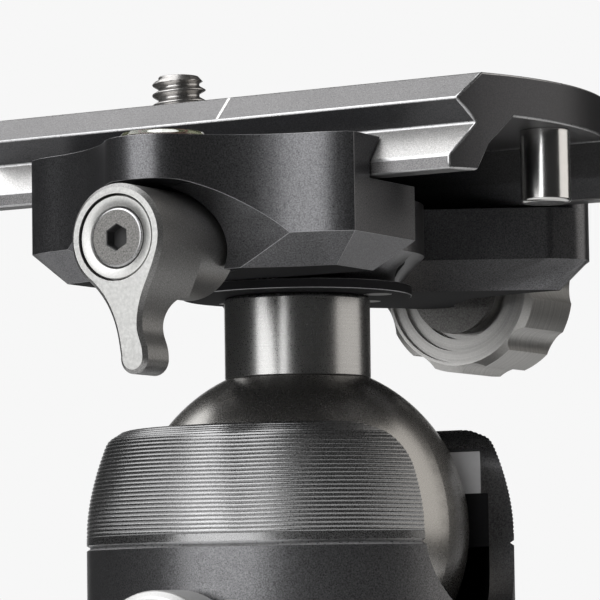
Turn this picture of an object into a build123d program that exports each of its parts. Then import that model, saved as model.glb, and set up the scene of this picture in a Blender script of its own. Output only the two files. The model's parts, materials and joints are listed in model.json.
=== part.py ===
# Tripod ball head with a drop notch, a lever clamp and a quick-release plate.
# Millimetres. +Z is up, +X points out of the drop notch, -Y is the side of the clamp lever.
# The origin is the centre of the mounting face under the base.
import os
from math import asin, atan, cos, degrees, radians, sin, sqrt, tan

from build123d import *

os.makedirs("parts", exist_ok=True)

# ---------------------------------------------------------------- clearances
run_gap = 0.05        # radial gap of a shaft that turns or slides in its bore
face_gap = 0.05       # between flat faces that slide on each other
seat_gap = 0.10       # between the ball and the two seats that hold it
body_gap = 0.30       # between bodies that pass each other without touching

# ---------------------------------------------------------------- ball and stem
ball_r = 19.0
stem_r = 8.25
stem_above_ball = 7.3
stem_bore_r = 5.0
stem_bore_depth = 6.0
flange_r = 13.0
flange_t = 1.1

# ---------------------------------------------------------------- pan base
base_step = 1.0             # the base is this much smaller than the housing
base_t = 6.0
base_edge = 0.6
spigot_r = 13.0
spigot_h = 7.0
bush_r = 7.0
bush_h = 11.0
base_thread_r = 4.2         # tapped 3/8"-16 hole, at the flanks' mean radius
base_thread_edge = 0.4
bearing_t = 1.0
bearing_inner_r = 14.0
slip_t = 0.5
retainer_r = 16.0
retainer_t = 1.6
retainer_screw_ring = 10.0
retainer_screw_count = 3
m3_r = 1.5
m3_head_r = 2.9
m3_thread_depth = 4.5

# ---------------------------------------------------------------- housing
bore_gap = 2.2              # between the ball and the housing's bore
wall_t = 2.8
upper_wall_t = 3.6          # thicker wall beside the upper seat
ball_shown = 7.6            # top of the ball above the rim
rim_gap = 1.2               # between the ball and the rim
rim_lip_t = 2.6
split_drop = 1.35           # wide groove below the ball's centre
split_h = 0.6
split_depth = 0.45
foot_edge = 0.8
seat_drop = 2.0             # the upper seat starts this far below the ball's centre
seat_step_rise = 4.0

# shape of the drop notch, seen along X
notch_gap = 2.15            # beside the stem
notch_drop = 0.2            # centre of its round bottom below the ball's centre
notch_straight = 6.3        # height above the ball's centre where it starts to flare
notch_flare = 3.3
notch_inner_x = 6.0

# ---------------------------------------------------------------- main lock
plug_ledge = 1.0            # rim of the plug round the wedge's floor
floor_ledge = 1.6           # its floor rests this far out on the plug
floor_t = 3.5
wedge_groove = 0.8
lock_axis_gap = 7.0         # main lock axis below the ball
wedge_half_w = 4.5
wedge_back = -7.0
wedge_front = 7.5
wedge_mid_h = 9.0           # height of the wedge at the middle of the housing
wedge_angle = 12.0
wedge_stud_r = 2.9
wedge_stud_gap = 1.2        # its end inside the housing's bore
cup_gap = 0.4               # between the lower cup and the housing's bore
cup_drop = 13.0             # top of the lower cup below the ball's centre
cup_floor_t = 1.5
cup_foot_r = 5.0
sleeve_r = 4.6
sleeve_in = 9.2             # its inner end inside the housing's bore
sleeve_collar_r = 6.2
sleeve_collar_t = 1.8
lock_boss_r = 9.0
lock_boss_out = 1.0         # face of the boss outside the housing
lock_bush_r = 7.0
lock_bush_flange_r = 8.4
lock_bush_flange_t = 1.2
lock_knob_r = 15.0
lock_knob_core_r = 11.5
lock_knob_len = 15.0
lock_knob_flutes = 12
lock_knob_flute_r = 3.0
lock_knob_flute_depth = 0.9
lock_screw_head_r = 4.4
lock_screw_head_t = 2.6
lock_cap_r = 10.0
lock_cap_t = 1.2

# ---------------------------------------------------------------- friction control
friction_drop = 15.0        # its axis below the ball's centre
plunger_r = 2.2
friction_bush_r = 4.0
friction_bush_out = 2.4
friction_knob_r = 8.5
friction_knob_len = 6.4
friction_dish_r = 7.3
friction_dish_depth = 1.6
friction_dial_t = 1.1
friction_screw_r = 3.1

# ---------------------------------------------------------------- pan lock
pan_screw_r = 2.0
pan_pad_len = 1.4
pan_knob_r = 6.0
pan_knob_len = 8.5
pan_knob_flutes = 10
pan_knob_flute_r = 1.6
pan_knob_flute_depth = 0.5
pan_cap_r = 4.2
pan_cap_t = 0.8

# ---------------------------------------------------------------- plate
plate_half_w = 19.0         # lower flange, the 38 mm dovetail
plate_end_r = 35.0
plate_shift = 0.6
plate_t = 10.5
plate_foot_t = 1.55         # upright face of the lower flange
plate_v_half = 16.0
plate_v_rise = 5.1
plate_tip_half = 18.2
plate_tip_rise = 7.6
plate_top_half = 15.3
channel_mouth_half = 16.0
channel_knee_half = 14.6
channel_knee_rise = 2.8
channel_top_half = 11.3
channel_depth = 6.0
slot_half_w = 3.35
slot_margin = 11.65         # from the slot's end to the plate's end
pin_r = 2.75
pin_reach = 2.0             # below the plate's underside
pin_margin = 3.9            # from the pin's axis to the plate's end
pad_half_w = 2.6
pad_margin = 8.0
pad_place = 9.6
pad_sunk = 0.7
pad_proud = 0.3
camera_screw_r = 3.175      # 1/4"-20
camera_neck_r = 2.45        # plain neck that stays captive in the washer
camera_thread_rise = 0.1    # where the thread starts above the plate's top
camera_screw_shift = -16.1  # from the plate's middle
camera_screw_reach = 5.6    # above the plate's top
camera_head_r = 7.2
camera_head_t = 2.9
camera_washer_r = 6.2
camera_washer_t = 0.5
hex_key_r = 2.3

# ---------------------------------------------------------------- clamp
clamp_h = 9.15              # underside to the floor under the plate
lip_rise = 4.65             # lips above that floor
lip_gap = 0.15              # beside the plate's flanges
skirt_h = 3.3               # sloping skirt round the clamp's underside
skirt_w = 3.4
split_y = -9.0
jaw_gap = 0.5
jaw_half_len = 20.6
jaw_corner_y = -22.6
jaw_turn = (16.5, -24.5)    # where the round shoulder turns into the hollow beside the boss
jaw_turn_angle = 12         # slope of the front there
level_y = -27.6
level_boss_r = 6.3
level_r = 4.85
level_depth = 3.0
level_proud = 0.8
level_wall = 0.55
hub_r = 14.5
wing_root_angle = 44
wing_near = (23.6, 17.0)
wing_tip = (26.4, 20.6)
wing_far = (24.8, 25.2)
wing_sweep = (17.0, 25.9)
wing_waist = (11.0, 27.8)
wing_corner_r = 2.8
knob_boss_y = 30.7
knob_boss_r = 6.8
knob_boss_angle = 20        # where the boss leaves its straight blend
rod_rise = 2.75             # rod's axis above the clamp's underside
rod_r = 1.6
guide_x = 8.0
guide_rise = 5.0
guide_r = 1.5
guide_in_body = 5.5
guide_in_jaw = 8.0
spring_r = 2.05             # mean radius of the coil
spring_wire_r = 0.25
spring_turns = 5
spring_len = 4.5
rod_seat_t = 5.0            # stretch of the jaw that only the rod passes
mount_screw_ring = 9.7
mount_screw_angles = (10, 65, 115, 170)
mount_screw_places = [
    (mount_screw_ring * cos(radians(angle)), mount_screw_ring * sin(radians(angle)))
    for angle in mount_screw_angles
]

# ---------------------------------------------------------------- clamp lever
lever_front_y = -37.0
lever_rear_y = -22.4
lever_r = 5.7
lever_arm_t = 4.4
lever_root_y = -28.6
lever_tip_x = 2.0
lever_reach = 14.4
lever_left_angle = 231
lever_right_angle = -17
lever_left_side = ((-1.6, -6.6), (-0.3, -9.4), (0.3, -12.5))
lever_right_side = ((3.65, -12.5), (3.05, -10.0), (3.6, -6.2))
lever_tip_way = (0.15, -1)
lever_root_fillet = 3.5
lever_bevel = 0.45
lever_bore_r = 4.6
ring_r = 4.45
ring_inner_r = 3.45
ring_t = 2.0
ring_sunk = 0.2
lever_screw_r = 3.15
lever_screw_t = 1.9
lever_hex_r = 1.38
lever_hex_depth = 1.4
lever_sleeve_r = 2.3
sleeve_head_t = 3.6
scoop_r = 8.9               # cove along the jaw's front that clears the lever
scoop_y = -33.5
scoop_rise = 0.2            # its axis above the clamp's underside
barrel_gap = 0.5

# ---------------------------------------------------------------- clamp knob
knob_r = 10.3
knob_len = 12.0
knob_flutes = 9
knob_flute_r = 2.6
knob_flute_depth = 0.8
knob_hub_r = 4.6
knob_washer_r = 5.6
knob_washer_t = 0.8
knob_steps = ((6.2, 1.9), (7.7, 1.1), (9.1, 0.5))    # how far each step reaches, and its depth
knob_nut_r = 3.6
knob_nut_t = 2.0

# ---------------------------------------------------------------- heights that follow
spigot_top = base_t + spigot_h
housing_foot = base_t + bearing_t + 2 * face_gap
plug_shelf = spigot_top - slip_t - 2 * face_gap
retainer_top = spigot_top + retainer_t
floor_z = retainer_top + face_gap * 8
plug_top = floor_z + floor_t
groove_z = plug_top - wedge_groove
wedge_foot = groove_z + face_gap
wedge_mid_top = wedge_foot + wedge_mid_h
lock_z = (plug_top + body_gap * 1.5) + sleeve_r
ball_z = lock_z + ball_r + lock_axis_gap
rim_rise = ball_r - ball_shown
rim_z = ball_z + rim_rise
bore_r = ball_r + bore_gap
housing_r = bore_r + wall_t
base_r = housing_r - base_step
upper_bore_r = housing_r - upper_wall_t
rim_inner_r = sqrt(ball_r**2 - rim_rise**2) + rim_gap
notch_half = stem_r + notch_gap
notch_mouth_half = notch_half + notch_flare
floor_r = retainer_r + body_gap + floor_ledge
cup_r = bore_r - cup_gap
wedge_stud_end = bore_r - wedge_stud_gap
sleeve_inner_y = bore_r - sleeve_in
lock_boss_y = housing_r + lock_boss_out
seat_top = rim_z - rim_lip_t - face_gap
friction_z = ball_z - friction_drop
pan_lock_z = (housing_foot + plug_shelf) / 2
cup_top = ball_z - cup_drop
cup_under = ball_z - ball_r - seat_gap - cup_floor_t

stem_top = ball_z + ball_r + stem_above_ball
clamp_z = stem_top + face_gap + flange_t
clamp_floor = clamp_z + clamp_h
lip_top = clamp_floor + lip_rise
skirt_z = clamp_z + skirt_h
rod_z = clamp_z + rod_rise
plate_z = clamp_floor + body_gap
plate_top = plate_z + plate_t
channel_z = plate_z + channel_depth
jaw_back_y = split_y - jaw_gap
channel_half = plate_half_w + lip_gap * 2
slot_half_len = plate_end_r - slot_margin
pin_place = plate_end_r - pin_margin
pad_half_len = plate_end_r - pad_margin
camera_screw_place = plate_shift + camera_screw_shift
v_slope = (plate_half_w - plate_v_half) / (plate_v_rise - plate_foot_t)
boss_face_y = knob_boss_y + knob_boss_r
knob_face_y = boss_face_y + knob_washer_t + 2 * face_gap


def across(y):
    """Sketch plane at depth y, seen from the lever side: x is X, y is Z, extrusions go to -Y."""
    return Plane.XZ.offset(-y)


def from_side(x):
    """Sketch plane at x, seen from +X: x is Y, y is Z, extrusions go to +X."""
    return Plane.YZ.offset(x)


def lathe_plane(z):
    """Plane at height z for profiles turned about an axis along Y: x is the radius."""
    return Plane.XY.offset(z)


def axis_along_y(z):
    return Axis((0, 0, z), (0, 1, 0))


def finish(builder, name):
    builder.part.label = name
    export_step(builder.part, "parts/" + name + ".step")


# ================================================================ pan base
# Base plate with the spigot that the housing turns on
with BuildPart() as base_plate:
    with BuildSketch():
        Circle(base_r)
    extrude(amount=base_t)
    chamfer(base_plate.edges().group_by(Axis.Z)[0], base_edge)
    with BuildSketch(Plane.XY.offset(base_t)):
        Circle(spigot_r)
    extrude(amount=spigot_h)
    with Locations((0, 0, 0)):
        Cylinder(bush_r, bush_h, align=(Align.CENTER, Align.CENTER, Align.MIN), mode=Mode.SUBTRACT)
    with Locations(Plane.XY.offset(spigot_top)):
        with PolarLocations(retainer_screw_ring, retainer_screw_count):
            Hole(m3_r, depth=m3_thread_depth)
finish(base_plate, "base_plate")

# Steel insert with the tapped tripod hole
with BuildPart() as base_thread_bush:
    with BuildSketch():
        Circle(bush_r)
        Circle(base_thread_r, mode=Mode.SUBTRACT)
    extrude(amount=bush_h)
    chamfer(base_thread_bush.edges().group_by(Axis.Z)[0].sort_by(SortBy.RADIUS)[0], base_thread_edge)
finish(base_thread_bush, "base_thread_bush")

# Slippery washers above and below the housing's plug
with BuildPart() as pan_bearing_washer:
    with BuildSketch(Plane.XY.offset(base_t + face_gap)):
        Circle(base_r - foot_edge)
        Circle(bearing_inner_r, mode=Mode.SUBTRACT)
    extrude(amount=bearing_t)
finish(pan_bearing_washer, "pan_bearing_washer")

with BuildPart() as pan_slip_washer:
    with BuildSketch(Plane.XY.offset(plug_shelf + face_gap)):
        Circle(retainer_r)
        Circle(spigot_r + run_gap, mode=Mode.SUBTRACT)
    extrude(amount=slip_t)
finish(pan_slip_washer, "pan_slip_washer")

# Disc on the spigot that keeps the housing down, with its screws
with BuildPart() as pan_retainer_disc:
    with BuildSketch(Plane.XY.offset(spigot_top)):
        Circle(retainer_r)
    extrude(amount=retainer_t)
    with Locations(Plane.XY.offset(retainer_top)):
        with PolarLocations(retainer_screw_ring, retainer_screw_count):
            CounterSinkHole(m3_r, m3_head_r, counter_sink_angle=90)
finish(pan_retainer_disc, "pan_retainer_disc")


def countersunk_profile(top, length):
    """Half the outline of a countersunk M3 screw on Plane.XZ, its head flush with the height top."""
    with BuildSketch(Plane.XZ) as sketch:
        with BuildLine():
            Polyline(
                (0, top),
                (m3_head_r, top),
                (m3_r, top - (m3_head_r - m3_r)),
                (m3_r, top - length),
                (0, top - length),
                close=True,
            )
        make_face()
    return sketch.sketch


with BuildPart() as one_retainer_screw:
    revolve(countersunk_profile(retainer_top, retainer_t + m3_thread_depth - body_gap), axis=Axis.Z)

with BuildPart() as pan_retainer_screws:
    with PolarLocations(retainer_screw_ring, retainer_screw_count):
        add(one_retainer_screw.part)
finish(pan_retainer_screws, "pan_retainer_screws")


# ================================================================ housing
def notch_sketch(plane):
    """Outline of the drop notch: round bottom, upright sides and a flared mouth."""
    centre = ball_z - notch_drop
    start = ball_z + notch_straight
    over = rim_z + foot_edge
    flare = notch_mouth_half - notch_half
    rise = rim_z - start
    flare_r = (flare**2 + rise**2) / (2 * flare)
    sweep = degrees(asin(rise / flare_r)) / 2
    mid_x = notch_half + flare_r * (1 - cos(radians(sweep)))
    mid_z = start + flare_r * sin(radians(sweep))
    with BuildSketch(plane) as sketch:
        with BuildLine():
            Line((notch_half, centre), (notch_half, start))
            ThreePointArc((notch_half, start), (mid_x, mid_z), (notch_mouth_half, rim_z))
            Line((notch_mouth_half, rim_z), (notch_mouth_half, over))
            Line((notch_mouth_half, over), (-notch_mouth_half, over))
            Line((-notch_mouth_half, over), (-notch_mouth_half, rim_z))
            ThreePointArc((-notch_mouth_half, rim_z), (-mid_x, mid_z), (-notch_half, start))
            Line((-notch_half, start), (-notch_half, centre))
            ThreePointArc((-notch_half, centre), (0, centre - notch_half), (notch_half, centre))
        make_face()
    return sketch.sketch


# Outside of the housing above the wide groove: shares of its height, and how far it has drawn in
dome_shape = ((0.118, 0), (0.353, 0.3), (0.62, 1.1), (0.831, 2.0), (0.918, 2.6), (0.965, 3.5))
dome_draw = 4.7
split_z = ball_z - split_drop
dome_h = rim_z - split_z

with BuildPart() as housing:
    with BuildSketch(Plane.XZ):
        with BuildLine():
            wall = Line((housing_r - foot_edge, housing_foot), (housing_r, housing_foot + foot_edge))
            wall = Line(wall @ 1, (housing_r, split_z - split_h))
            wall = Line(wall @ 1, (housing_r - split_depth, split_z - split_h / 2))
            wall = Line(wall @ 1, (housing_r, split_z))
            dome = Spline(
                wall @ 1,
                *[(housing_r - draw, split_z + share * dome_h) for share, draw in dome_shape],
                (housing_r - dome_draw, rim_z),
                tangents=((0, 1), (-1, 0)),
            )
            Polyline(
                dome @ 1,
                (rim_inner_r, rim_z),
                (rim_inner_r, rim_z - rim_lip_t),
                (upper_bore_r, rim_z - rim_lip_t),
                (upper_bore_r, ball_z + seat_step_rise),
                (bore_r, ball_z + seat_step_rise),
                (bore_r, housing_foot),
                (housing_r - foot_edge, housing_foot),
            )
        make_face()
    revolve(axis=Axis.Z)
    # boss for the main lock's bush
    with BuildSketch(across(lock_boss_y)):
        with Locations((0, lock_z)):
            Circle(lock_boss_r)
    extrude(amount=lock_boss_y)
    # the boss stays outside the bore
    with BuildSketch(Plane.XY.offset(housing_foot)):
        Circle(bore_r)
    extrude(amount=ball_z - housing_foot, mode=Mode.SUBTRACT)
    # room for the tilted ball under the rim
    with Locations((0, 0, ball_z)):
        Sphere(ball_r + seat_gap * 5, mode=Mode.SUBTRACT)
    # drop notch
    extrude(notch_sketch(from_side(notch_inner_x)), amount=housing_r, mode=Mode.SUBTRACT)
    # holes for the main lock, the friction control and the pan lock
    with BuildSketch(across(lock_boss_y)):
        with Locations((0, lock_z)):
            Circle(lock_bush_r)
    extrude(amount=lock_boss_y, mode=Mode.SUBTRACT)
    with BuildSketch(across(0)):
        with Locations((0, friction_z)):
            Circle(friction_bush_r)
    extrude(amount=housing_r, mode=Mode.SUBTRACT)
    with BuildSketch(from_side(0)):
        with Locations((0, pan_lock_z)):
            Circle(pan_screw_r + run_gap)
    extrude(amount=-housing_r, mode=Mode.SUBTRACT)
finish(housing, "housing")

# Plug screwed into the housing's foot; it turns on the base's spigot
with BuildPart() as housing_plug:
    with BuildSketch(Plane.XZ):
        with BuildLine():
            Polyline(
                (spigot_r + run_gap, housing_foot),
                (bore_r, housing_foot),
                (bore_r, floor_z + plug_ledge),
                (floor_r, floor_z + plug_ledge),
                (floor_r, floor_z),
                (retainer_r + body_gap, floor_z),
                (retainer_r + body_gap, plug_shelf),
                (spigot_r + run_gap, plug_shelf),
                close=True,
            )
        make_face()
    revolve(axis=Axis.Z)
    with BuildSketch(from_side(0)):
        with Locations((0, pan_lock_z)):
            Circle(pan_screw_r + run_gap)
    extrude(amount=-housing_r, mode=Mode.SUBTRACT)
finish(housing_plug, "housing_plug")

# Floor that carries the locking wedge in a groove
with BuildPart() as wedge_floor:
    with BuildSketch(Plane.XY.offset(floor_z)):
        Circle(floor_r)
    extrude(amount=floor_t)
    with BuildSketch(Plane.XY.offset(groove_z)):
        Rectangle(2 * (wedge_half_w + run_gap), 2 * housing_r)
    extrude(amount=wedge_groove, mode=Mode.SUBTRACT)
finish(wedge_floor, "wedge_floor")

# Upper ball seat, cut through by the notch
with BuildPart() as upper_seat:
    with BuildSketch(Plane.XZ):
        with BuildLine():
            Polyline(
                (rim_inner_r, ball_z - seat_drop),
                (bore_r, ball_z - seat_drop),
                (bore_r, ball_z + seat_step_rise - face_gap),
                (upper_bore_r, ball_z + seat_step_rise - face_gap),
                (upper_bore_r, seat_top),
                (rim_inner_r, seat_top),
                close=True,
            )
        make_face()
    revolve(axis=Axis.Z)
    with Locations((0, 0, ball_z)):
        Sphere(ball_r + seat_gap, mode=Mode.SUBTRACT)
    extrude(notch_sketch(from_side(notch_inner_x)), amount=housing_r, mode=Mode.SUBTRACT)
finish(upper_seat, "upper_seat")


# ================================================================ ball lock
def under_wedge_plane(lift, half_x, y0, y1, bottom):
    """Sketch on Plane.YZ of what lies under the wedge's sloping top, lifted by lift."""
    slope = tan(radians(wedge_angle))
    with BuildSketch(from_side(-half_x)) as sketch:
        with BuildLine():
            Polyline(
                (y0, bottom),
                (y1, bottom),
                (y1, wedge_mid_top + lift + slope * y1),
                (y0, wedge_mid_top + lift + slope * y0),
                close=True,
            )
        make_face()
    return sketch.sketch


with BuildPart() as lock_wedge:
    extrude(
        under_wedge_plane(0, wedge_half_w, wedge_back, wedge_front, wedge_foot), amount=2 * wedge_half_w
    )
    with BuildSketch(across(wedge_stud_end)):
        with Locations((0, lock_z)):
            Circle(wedge_stud_r)
    extrude(amount=wedge_stud_end - wedge_front)
finish(lock_wedge, "lock_wedge")

lock_bush_inner_y = bore_r - body_gap * 2
lock_collar_y = lock_bush_inner_y - face_gap

# Lower cup that the wedge lifts against the ball
with BuildPart() as lower_cup:
    with BuildSketch(Plane.XY.offset(cup_under)):
        Circle(cup_r)
    extrude(amount=cup_top - cup_under)
    with BuildSketch(Plane.XY.offset(wedge_foot)):
        Circle(cup_foot_r)
    extrude(amount=cup_under - wedge_foot)
    extrude(
        under_wedge_plane(face_gap, cup_foot_r * 2, -cup_foot_r * 2, cup_foot_r * 2, 0),
        amount=4 * cup_foot_r,
        mode=Mode.SUBTRACT,
    )
    with Locations((0, 0, ball_z)):
        Sphere(ball_r + seat_gap, mode=Mode.SUBTRACT)
    # relief over the main lock's bush and collar
    with BuildSketch(across(housing_r)):
        with Locations((0, lock_z)):
            Circle(lock_bush_r + 3 * body_gap)
    extrude(amount=housing_r - lock_collar_y + sleeve_collar_t + body_gap, mode=Mode.SUBTRACT)
finish(lower_cup, "lower_cup")

lock_knob_y = lock_boss_y + lock_bush_flange_t + body_gap
lock_knob_end = lock_knob_y + lock_knob_len
lock_screw_seat = lock_knob_end - lock_cap_t - lock_screw_head_t - body_gap

with BuildPart() as main_lock_bush:
    with BuildSketch(lathe_plane(lock_z)):
        with BuildLine():
            Polyline(
                (sleeve_r + run_gap, lock_bush_inner_y),
                (lock_bush_r, lock_bush_inner_y),
                (lock_bush_r, lock_boss_y),
                (lock_bush_flange_r, lock_boss_y),
                (lock_bush_flange_r, lock_boss_y + lock_bush_flange_t),
                (sleeve_r + run_gap, lock_boss_y + lock_bush_flange_t),
                close=True,
            )
        make_face()
    revolve(axis=axis_along_y(lock_z))
finish(main_lock_bush, "main_lock_bush")

# Captive sleeve, threaded inside, that draws the wedge's stud
with BuildPart() as main_lock_sleeve:
    with BuildSketch(lathe_plane(lock_z)):
        with BuildLine():
            Polyline(
                (wedge_stud_r + run_gap, sleeve_inner_y),
                (sleeve_r, sleeve_inner_y),
                (sleeve_r, lock_collar_y - sleeve_collar_t),
                (sleeve_collar_r, lock_collar_y - sleeve_collar_t),
                (sleeve_collar_r, lock_collar_y),
                (sleeve_r, lock_collar_y),
                (sleeve_r, lock_screw_seat),
                (wedge_stud_r + run_gap, lock_screw_seat),
                close=True,
            )
        make_face()
    revolve(axis=axis_along_y(lock_z))
finish(main_lock_sleeve, "main_lock_sleeve")

with BuildPart() as main_lock_knob:
    with BuildSketch(lathe_plane(lock_z)):
        with BuildLine():
            Polyline(
                (sleeve_r, lock_knob_y),
                (lock_knob_core_r, lock_knob_y),
                (lock_knob_core_r, lock_knob_end),
                (lock_cap_r, lock_knob_end),
                (lock_cap_r, lock_knob_end - lock_cap_t),
                (lock_screw_head_r + body_gap, lock_knob_end - lock_cap_t),
                (lock_screw_head_r + body_gap, lock_screw_seat),
                (sleeve_r, lock_screw_seat),
                close=True,
            )
        make_face()
    revolve(axis=axis_along_y(lock_z))
finish(main_lock_knob, "main_lock_knob")


def fluted_sketch(plane, centre, radius, inner, count, flute_r, flute_depth):
    """Ring with a wavy rim: count round flutes of the given depth."""
    with BuildSketch(plane) as sketch:
        with Locations(centre):
            Circle(radius)
            with PolarLocations(radius + flute_r - flute_depth, count):
                Circle(flute_r, mode=Mode.SUBTRACT)
            if inner > 0:
                Circle(inner, mode=Mode.SUBTRACT)
    return sketch.sketch


with BuildPart() as main_lock_grip:
    grip_face = fluted_sketch(
        across(lock_knob_end - foot_edge), (0, lock_z), lock_knob_r, lock_knob_core_r,
        lock_knob_flutes, lock_knob_flute_r, lock_knob_flute_depth,
    )
    extrude(grip_face, amount=lock_knob_len - 2 * foot_edge)
finish(main_lock_grip, "main_lock_grip")

with BuildPart() as main_lock_screw:
    with BuildSketch(across(lock_screw_seat + lock_screw_head_t)):
        with Locations((0, lock_z)):
            Circle(lock_screw_head_r)
            RegularPolygon(hex_key_r, 6, mode=Mode.SUBTRACT)
    extrude(amount=lock_screw_head_t)
    with BuildSketch(across(lock_screw_seat + face_gap)):
        with Locations((0, lock_z)):
            Circle(wedge_stud_r)
    extrude(amount=lock_screw_seat - wedge_stud_end - 2 * body_gap * 5)
finish(main_lock_screw, "main_lock_screw")

with BuildPart() as main_lock_cap:
    with BuildSketch(across(lock_knob_end)):
        with Locations((0, lock_z)):
            Circle(lock_cap_r)
    extrude(amount=lock_cap_t)
    chamfer(main_lock_cap.edges().group_by(Axis.Y)[-1], body_gap)
finish(main_lock_cap, "main_lock_cap")

# ================================================================ friction control
friction_bush_tip = -(housing_r + friction_bush_out)
friction_knob_y = -(housing_r + body_gap * 2)
friction_front_y = friction_knob_y - friction_knob_len

with BuildPart() as friction_bush:
    with BuildSketch(across(-bore_r)):
        with Locations((0, friction_z)):
            Circle(friction_bush_r)
            Circle(plunger_r + run_gap, mode=Mode.SUBTRACT)
    extrude(amount=-friction_bush_tip - bore_r)
finish(friction_bush, "friction_bush")

# Plunger whose nylon tip bears on the side of the lower cup
plunger_tip_y = -(cup_r + body_gap)
with BuildPart() as friction_plunger:
    with BuildSketch(across(plunger_tip_y)):
        with Locations((0, friction_z)):
            Circle(plunger_r)
    extrude(amount=-friction_bush_tip - cup_r)
finish(friction_plunger, "friction_plunger")

friction_bore_end = friction_bush_tip - body_gap * 3
with BuildPart() as friction_knob:
    with BuildSketch(lathe_plane(friction_z)):
        with BuildLine():
            Polyline(
                (friction_bush_r + run_gap, friction_knob_y),
                (friction_knob_r - foot_edge, friction_knob_y),
                (friction_knob_r, friction_knob_y - foot_edge),
                (friction_knob_r, friction_front_y + foot_edge),
                (friction_knob_r - foot_edge, friction_front_y),
                (friction_dish_r, friction_front_y),
                (friction_dish_r, friction_front_y + friction_dish_depth),
                (0, friction_front_y + friction_dish_depth),
                (0, friction_bore_end),
                (friction_bush_r + run_gap, friction_bore_end),
                close=True,
            )
        make_face()
    revolve(axis=axis_along_y(friction_z))
finish(friction_knob, "friction_knob")

with BuildPart() as friction_dial:
    with BuildSketch(across(friction_front_y + friction_dish_depth)):
        with Locations((0, friction_z)):
            Circle(friction_dish_r - body_gap / 2)
            Circle(friction_screw_r + body_gap / 2, mode=Mode.SUBTRACT)
    extrude(amount=friction_dial_t)
finish(friction_dial, "friction_dial")

with BuildPart() as friction_screw:
    with BuildSketch(across(friction_front_y + friction_dish_depth)):
        with Locations((0, friction_z)):
            Circle(friction_screw_r)
    extrude(amount=friction_dial_t + body_gap / 2)
    with BuildSketch(across(friction_front_y + friction_dish_depth - body_gap)):
        with Locations((0, friction_z)):
            RegularPolygon(lever_hex_r, 6)
    extrude(amount=friction_dial_t + body_gap, mode=Mode.SUBTRACT)
finish(friction_screw, "friction_screw")

# ================================================================ pan lock
pan_knob_x = housing_r + body_gap * 2
pan_knob_end = pan_knob_x + pan_knob_len
pan_pad_x = spigot_r + face_gap

with BuildPart() as pan_lock_pad:
    with BuildSketch(from_side(-pan_pad_x)):
        with Locations((0, pan_lock_z)):
            Circle(pan_screw_r)
    extrude(amount=-pan_pad_len)
    # its tip follows the spigot's round side
    with BuildSketch(Plane.XY):
        Circle(pan_pad_x)
    extrude(amount=rim_z, mode=Mode.SUBTRACT)
finish(pan_lock_pad, "pan_lock_pad")

with BuildPart() as pan_lock_screw:
    with BuildSketch(from_side(-pan_pad_x - pan_pad_len)):
        with Locations((0, pan_lock_z)):
            Circle(pan_screw_r)
    extrude(amount=-(pan_knob_end - pan_cap_t - pan_pad_x - pan_pad_len))
finish(pan_lock_screw, "pan_lock_screw")

with BuildPart() as pan_lock_knob:
    pan_knob_face = fluted_sketch(
        from_side(-pan_knob_x), (0, pan_lock_z), pan_knob_r, pan_screw_r,
        pan_knob_flutes, pan_knob_flute_r, pan_knob_flute_depth,
    )
    extrude(pan_knob_face, amount=-pan_knob_len)
    with BuildSketch(from_side(-pan_knob_end)):
        with Locations((0, pan_lock_z)):
            Circle(pan_cap_r)
    extrude(amount=pan_cap_t, mode=Mode.SUBTRACT)
finish(pan_lock_knob, "pan_lock_knob")

with BuildPart() as pan_lock_cap:
    with BuildSketch(from_side(-pan_knob_end)):
        with Locations((0, pan_lock_z)):
            Circle(pan_cap_r)
    extrude(amount=pan_cap_t)
finish(pan_lock_cap, "pan_lock_cap")

# ================================================================ ball and stem
with BuildPart() as ball:
    with Locations((0, 0, ball_z)):
        Sphere(ball_r)
finish(ball, "ball")

with BuildPart() as stem:
    with BuildSketch(Plane.XY.offset(ball_z)):
        Circle(stem_r)
    extrude(amount=stem_top - ball_z)
    chamfer(stem.edges().group_by(Axis.Z)[-1], body_gap)
    with Locations(Plane.XY.offset(stem_top)):
        Hole(stem_bore_r + run_gap, depth=stem_bore_depth)
    with Locations((0, 0, ball_z)):
        Sphere(ball_r + run_gap, mode=Mode.SUBTRACT)
finish(stem, "stem")

# Flange under the clamp, with the spigot that turns in the stem
with BuildPart() as stem_flange:
    with BuildSketch(Plane.XY.offset(stem_top + face_gap)):
        Circle(flange_r)
    extrude(amount=flange_t)
    with BuildSketch(Plane.XY.offset(stem_top + face_gap)):
        Circle(stem_bore_r)
    extrude(amount=-(stem_bore_depth - body_gap))
    with Locations(Plane.XY.offset(clamp_z)):
        with Locations(*mount_screw_places):
            Hole(m3_r, depth=flange_t)
finish(stem_flange, "stem_flange")


# ================================================================ clamp
def plate_space(side):
    """Room for the plate on a clamp jaw, seen from +X: a floor and, on one side, that jaw's lip."""
    undercut_z = plate_z + plate_foot_t
    tip = channel_half - (lip_top - undercut_z) * v_slope
    with BuildSketch(from_side(-plate_end_r)) as sketch:
        with BuildLine():
            Polyline(
                (-side * plate_end_r, clamp_floor),
                (side * channel_half, clamp_floor),
                (side * channel_half, undercut_z),
                (side * tip, lip_top),
                (side * tip, lip_top + clamp_h),
                (-side * plate_end_r, lip_top + clamp_h),
                close=True,
            )
        make_face()
    return sketch.sketch


def arc_middle(centre, radius, angle):
    """Point of a circle at an angle from -Y towards +X."""
    return (centre[0] + radius * sin(radians(angle)), centre[1] - radius * cos(radians(angle)))


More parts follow.
